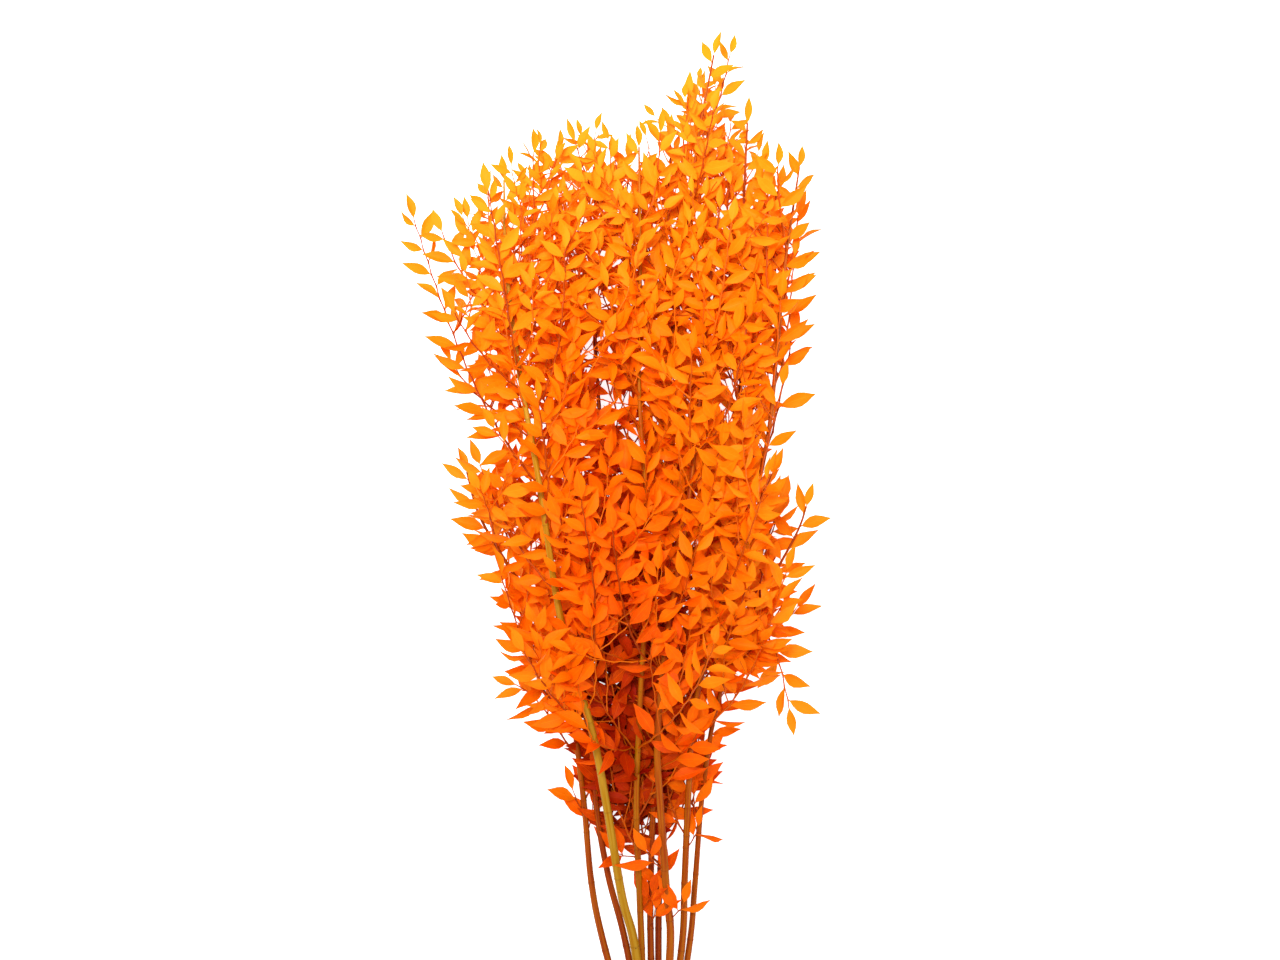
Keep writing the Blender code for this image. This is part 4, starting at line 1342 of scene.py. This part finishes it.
Form = namedtuple("Form", "droop fold twist sickle wave")
FORMS = (
    Form(-0.08, 0.35, 0.40, -0.05, 0.014),
    Form(-0.03, 0.30, 0.15, 0.05, 0.012),
    Form(0.02, 0.20, -0.20, -0.04, 0.015),
    Form(0.06, 0.45, 0.05, 0.06, 0.008),
    Form(0.10, 0.25, 0.35, -0.07, 0.015),
    Form(0.14, 0.60, -0.10, 0.03, 0.010),
    Form(0.19, 0.35, -0.40, 0.08, 0.018),
    Form(0.26, 0.50, 0.55, -0.06, 0.016),
)


def leaf_form(number, form):
    """One form of leaf as a closed mesh: X across it, Y along it and Z its face."""
    points, coordinates = [], []
    for share, half in LEAF_PROFILE:
        turn = form.twist * share
        for across, below in LEAF_SECTION:
            reach = across * half
            rise = abs(across) * half * USUAL_SLENDERNESS * form.fold
            rise += form.wave * math.sin(RIPPLES * share + RIPPLE_SHIFT * across) * abs(across)
            rise += reach * USUAL_SLENDERNESS * math.sin(turn)
            thin = LEAF_THICKNESS * below * (1 - TIP_THINNING * share)
            points.append((
                reach * math.cos(turn) + form.sickle * math.sin(math.pi * share),
                share,
                rise - form.droop * share * share - thin,
            ))
            coordinates.append(((across + 1) / 2, share))
    sides, rings = len(LEAF_SECTION), len(LEAF_PROFILE)
    right_edge = LEAF_SECTION.index((1.0, 0.0))
    points.append((0.0, 1.0, -form.droop))
    coordinates.append((0.5, 1.0))
    faces = [tuple(range(sides))]
    for ring in range(rings - 1):
        for k in range(sides):
            a, b = ring * sides + k, ring * sides + (k + 1) % sides
            faces.append((a, b, b + sides, a + sides))
    last = (rings - 1) * sides
    faces += [(last + k, last + (k + 1) % sides, last + sides) for k in range(sides)]
    rim = [(k, k + sides) for ring in range(rings) for k in (ring * sides, ring * sides + right_edge)]
    rim = {frozenset((a, min(b, len(points) - 1))) for a, b in rim}
    mesh = closed_mesh(f"leaf_form_{number}", points, faces, rim)
    layer = mesh.uv_layers.new(name="leaf")
    layer.data.foreach_set("uv", [c for loop in mesh.loops for c in coordinates[loop.vertex_index]])
    return bpy.data.objects.new(mesh.name, mesh)


leaf_forms = bpy.data.collections.new("leaf_forms")
for number, form in enumerate(FORMS):
    leaf_forms.objects.link(leaf_form(number, form))

# %% [markdown]
# The second tree sets a leaf on each point. The points carry the turn, the size and the number of the form,
# and also a tone for the colour, which holds painted light and shade. The tree picks the form from the
# collection by that number, makes the copies real, and sets the material.

# %% A Geometry Nodes tree that sets leaves on points
leaf_tree, given, result = new_tree(
    "leaves_on_points",
    [("Forms", "NodeSocketCollection", None), ("Finish", "NodeSocketMaterial", None)],
)
forms = add(
    leaf_tree, "GeometryNodeCollectionInfo",
    {"Collection": given.outputs["Forms"], "Separate Children": True, "Reset Children": True},
)
turn = add(leaf_tree, "GeometryNodeInputNamedAttribute", {"Name": "turn"}, data_type="FLOAT_VECTOR")
turn = add(leaf_tree, "FunctionNodeEulerToRotation", {0: turn})
size = add(leaf_tree, "GeometryNodeInputNamedAttribute", {"Name": "size"}, data_type="FLOAT_VECTOR")
form = add(leaf_tree, "GeometryNodeInputNamedAttribute", {"Name": "form"}, data_type="INT")
placed = add(
    leaf_tree, "GeometryNodeInstanceOnPoints",
    {
        "Points": given.outputs["Geometry"], "Instance": forms, "Pick Instance": True,
        "Instance Index": form, "Rotation": turn, "Scale": size,
    },
)
real = add(leaf_tree, "GeometryNodeRealizeInstances", {0: placed})
finished = add(leaf_tree, "GeometryNodeSetMaterial", {"Geometry": real, "Material": given.outputs["Finish"]})
leaf_tree.links.new(finished.outputs[0], result.inputs[0])
print(leaf_tree.name, len(leaf_tree.nodes), "nodes")

# %% [markdown]
# The tone of a leaf paints light and shade into its colour. Leaves at the tips and at the sides, where more
# light reaches, are yellower. Leaves low on the stems and deep in the bunch, where shade falls, are redder
# and darker. So the tone comes from how far up the bunch the leaf is, how far from the middle and how high
# over the table, with a small draw of its own.

# %% Leaves
# Going up the bunch: (Y, X of the reddest, most shaded place, tone there, at the left side, at the right
# side, and how much painted shade the leaves under the front ones get)
TONES_WITH_PAINTED_LIGHT = (
    (190, -16, 0.42, 0.6, 0.7, 0.4),
    (225, -18, 0.32, 0.65, 0.8, 0.8),
    (262, -20, 0.26, 0.82, 0.88, 1.0),
    (311, -20, 0.24, 0.94, 1.0, 1.0),
    (382, -24, 0.34, 0.92, 1.0, 0.9),
    (452, -36, 0.48, 0.98, 0.94, 0.3),
    (523, -42, 0.56, 0.92, 0.9, 0.2),
    (593, -60, 0.68, 0.86, 0.74, 0.15),
    (664, -60, 0.82, 0.96, 0.8, 0.15),
    (734, 110, 0.96, 1.06, 0.85, 0.15),
    (805, 40, 1.08, 1.08, 1.08, 0.1),
)
SIDE_POWER = 0.95
MIDDLE_DEPTH = 0.35
TONE_DRAW = 0.08


def leaf_tone_with_painted_light(leaf, seed):
    """Where the leaf's colour stands between brick red, near 0, and yellow, near 1, with painted shade deep
    in the bunch and low down, and painted light at the tips and the sides.
    """
    x, y, z = leaf.base
    middle, inner, left_tone, right_tone, painted_depth_shade = (look_up(TONES_WITH_PAINTED_LIGHT, y, column) for column in range(1, 6))
    # painted light and shade: yellower towards the sides of the head, redder at its shaded middle
    column, outer = (2, right_tone) if x > middle else (1, left_tone)
    sideways = min((x - middle) / (look_up(HEAD_SIDES, y, column) - middle), 1.0) ** SIDE_POWER
    depth = 1 - min(z / look_up(HEAD_TOPS, y, 1), 1.0)
    # painted shade: leaves lower under the front ones get a redder, darker tone
    inner -= painted_depth_shade * (depth - MIDDLE_DEPTH)
    tone = inner + (outer - inner) * sideways
    return tone + random.Random(seed + " tone").uniform(-TONE_DRAW, TONE_DRAW)


def form_of(leaf):
    """The form whose droop is nearest to the leaf's own."""
    return min(range(len(FORMS)), key=lambda i: abs(FORMS[i].droop - leaf.droop))


def turn_of(leaf):
    """The leaf's rotation as Euler angles."""
    axes = Matrix((leaf.along.cross(leaf.face), leaf.along, leaf.face)).transposed()
    return axes.to_euler()


def make_leaves(name):
    """All the leaves of a stem as one piece."""
    group = leaves[name]
    sizes = [(leaf.width * METRES, leaf.length * METRES, leaf.length * METRES) for _, leaf in group]
    piece = seed_mesh(
        name + "_leaves", [leaf.base for _, leaf in group], [],
        {
            "turn": ("FLOAT_VECTOR", [tuple(turn_of(leaf)) for _, leaf in group]),
            "size": ("FLOAT_VECTOR", sizes),
            "form": ("INT", [form_of(leaf) for _, leaf in group]),
            "tone": ("FLOAT", [leaf_tone_with_painted_light(leaf, seed) for seed, leaf in group]),
        },
    )
    run_tree(piece, leaf_tree, {"Forms": leaf_forms, "Finish": dyed_leaf}, ["turn", "size", "form"])
    belongs(piece, name)
    return piece


leaf_pieces = [make_leaves(name) for name in STEMS]
for made in list(leaf_forms.objects):
    bpy.data.objects.remove(made)
bpy.data.collections.remove(leaf_forms)
print(sum(triangles(p) for p in leaf_pieces), "triangles in the leaves, at most",
      max(triangles(p) for p in leaf_pieces), "a piece")

# %% [markdown]
# The band is a plain rubber band wound three times. A stretched band takes the shortest way round the canes:
# straight from one to the next, and round their outsides. That line is found by laying a straight edge
# against the pile at many angles and joining the places where each edge meets the next one.

# %% Rubber: natural latex, matt, with a faint bloom
LATEX_GRAIN = (120.0, 900.0, 120.0)
natural_latex, tree, output = new_material("natural_latex_rubber")
place = add(tree, "ShaderNodeTexCoord")
stretched = add(tree, "ShaderNodeMapping", {"Vector": place.outputs["Object"], "Scale": LATEX_GRAIN})
lines = add(tree, "ShaderNodeTexNoise", {"Vector": stretched, "Scale": 1.0, "Detail": 2.0})
colour = ramp(tree, lines.outputs["Fac"], ((0.0, "#B98A4A"), (1.0, "#D6AE6E")))
bump = add(tree, "ShaderNodeBump", {"Height": lines.outputs["Fac"], "Strength": 0.4, "Distance": 0.0002})
latex = add(
    tree, "ShaderNodeBsdfPrincipled", {"Base Color": colour, "Roughness": 0.6, "IOR": 1.52, "Normal": bump},
)
tree.links.new(latex.outputs[0], output.inputs["Surface"])

# %% The three turns of the band
BAND_TURNS = 3
BAND_LINES = 120
BAND_WIDTH = 4.1
BAND_SKEW = 0.35
BAND_SIDES = 14
SIDE_ROUNDNESS, FACE_ROUNDNESS = 0.35, 0.6
SKEW_SHIFT = 2.0


def band_outline(grow):
    """The line that a band stretched round the canes takes, this far out from them."""
    turn = 2 * math.pi / BAND_LINES
    angles = [turn * k for k in range(BAND_LINES + 1)]
    reach = [
        max(x * math.cos(a) + z * math.sin(a) + radius for x, z, radius in places.values())
        + SEAT_GAP + grow
        for a in angles
    ]
    corners = []
    for a, b, here, there in zip(angles, angles[1:], reach, reach[1:]):
        x = here * math.sin(b) - there * math.sin(a)
        z = there * math.cos(a) - here * math.cos(b)
        corners.append(Vector((x, z)) / math.sin(turn))
    return corners


def band_turn(points, faces, y, phase):
    """Adds one turn: a flat strip with round edges, a little askew on the canes."""
    start = len(points)
    for k in range(BAND_SIDES):
        angle = 2 * math.pi * (k + 0.5) / BAND_SIDES
        wide, out = math.cos(angle), math.sin(angle)
        wide = math.copysign(abs(wide) ** SIDE_ROUNDNESS, wide) * BAND_WIDTH / 2
        out = BAND_THICKNESS * (0.5 + 0.5 * math.copysign(abs(out) ** FACE_ROUNDNESS, out))
        for i, p in enumerate(band_outline(out)):
            askew = BAND_SKEW * math.sin(2 * math.pi * i / BAND_LINES + phase)
            points.append((p.x * METRES, (y + wide + askew) * METRES, max(p.y, 0.0) * METRES))
    for k in range(BAND_SIDES):
        here, there = start + k * BAND_LINES, start + (k + 1) % BAND_SIDES * BAND_LINES
        for i in range(BAND_LINES):
            n = (i + 1) % BAND_LINES
            faces.append((here + i, here + n, there + n, there + i))


points, faces = [], []
for turn in range(BAND_TURNS):
    band_turn(points, faces, (turn - (BAND_TURNS - 1) / 2) * BAND_TURN_WIDTH, turn * SKEW_SHIFT)
mesh = closed_mesh("band_of_rubber", points, faces)
mesh.materials.append(natural_latex)
band = bpy.data.objects.new("band_of_rubber", mesh)
bpy.context.scene.collection.objects.link(band)
belongs(band, "rubber_band")
print("band of", triangles(band), "triangles")

# %% [markdown]
# The bunch lies on a white table in even white light from all sides. One large soft light hangs beyond the
# tips, a little to the left, and fades away towards the band. The camera looks straight down, with the tips
# at the top of the picture. A long lens keeps the near and the far sprays at nearly the same scale.

# %% Table, light and camera
IMAGE_WIDTH = 960.0      # mm across the picture at the bunch's middle height
IMAGE_CENTRE = (-11.25, 495.0)
MIDDLE_HEIGHT = 90.0
LENS = 100.0
TABLE_SIZE = 6.0
TABLE_PLACE = (0.0, 0.4, -0.0001)
WORLD_STRENGTH = 1.05
SPOT_WATTS = 590.0
SPOT_TARGET = (0.0, 0.76, 0.0)
SPOT_AWAY = (-0.35, 0.35, 3.0)   # m from the target to the lamp
SPOT_REACH = 0.6                 # m from the target to where the light has faded away
SPOT_RADIUS = 0.4
SPOT_BLEND = 0.9
TABLE_GLOW = 0.8         # makes up for what the bunch shades, so that the sheet is seen white all over

white_table, tree, output = new_material("matt_white_table")
sheet = add(tree, "ShaderNodeBsdfPrincipled", {"Base Color": linear("#F6F6F6"), "Roughness": 0.8})
seen = add(tree, "ShaderNodeLightPath").outputs["Is Camera Ray"]
glow = add(tree, "ShaderNodeMath", {0: seen, 1: TABLE_GLOW}, operation="MULTIPLY")
tree.links.new(glow.outputs[0], sheet.inputs["Emission Strength"])
sheet.inputs["Emission Color"].default_value = linear("#FFFFFF")
tree.links.new(sheet.outputs[0], output.inputs["Surface"])
bpy.ops.mesh.primitive_plane_add(size=TABLE_SIZE, location=TABLE_PLACE)
table = bpy.context.object
table.name = "table"
table.data.materials.append(white_table)

world = bpy.data.worlds.new("even_white_light")
world.use_nodes = True
sky = world.node_tree.nodes["Background"]
sky.inputs["Color"].default_value = linear("#FFFFFF")
sky.inputs["Strength"].default_value = WORLD_STRENGTH
bpy.context.scene.world = world

lamp = bpy.data.lights.new("light_on_the_leaves", "SPOT")
lamp.energy, lamp.shadow_soft_size = SPOT_WATTS, SPOT_RADIUS
lamp.spot_size, lamp.spot_blend = 2 * math.atan(SPOT_REACH / SPOT_AWAY[2]), SPOT_BLEND
spot = bpy.data.objects.new("light_on_the_leaves", lamp)
spot.location = Vector(SPOT_TARGET) + Vector(SPOT_AWAY)
spot.rotation_euler = Vector(SPOT_AWAY).to_track_quat("Z", "Y").to_euler()
bpy.context.scene.collection.objects.link(spot)

camera = bpy.data.cameras.new("camera")
camera.lens = LENS
eye = bpy.data.objects.new("camera", camera)
height = MIDDLE_HEIGHT + IMAGE_WIDTH * LENS / camera.sensor_width
eye.location = Vector((*IMAGE_CENTRE, height)) * METRES
bpy.context.scene.collection.objects.link(eye)
bpy.context.scene.camera = eye
bpy.context.scene.view_settings.view_transform = "Standard"
print("camera", round(height), "mm over the table")
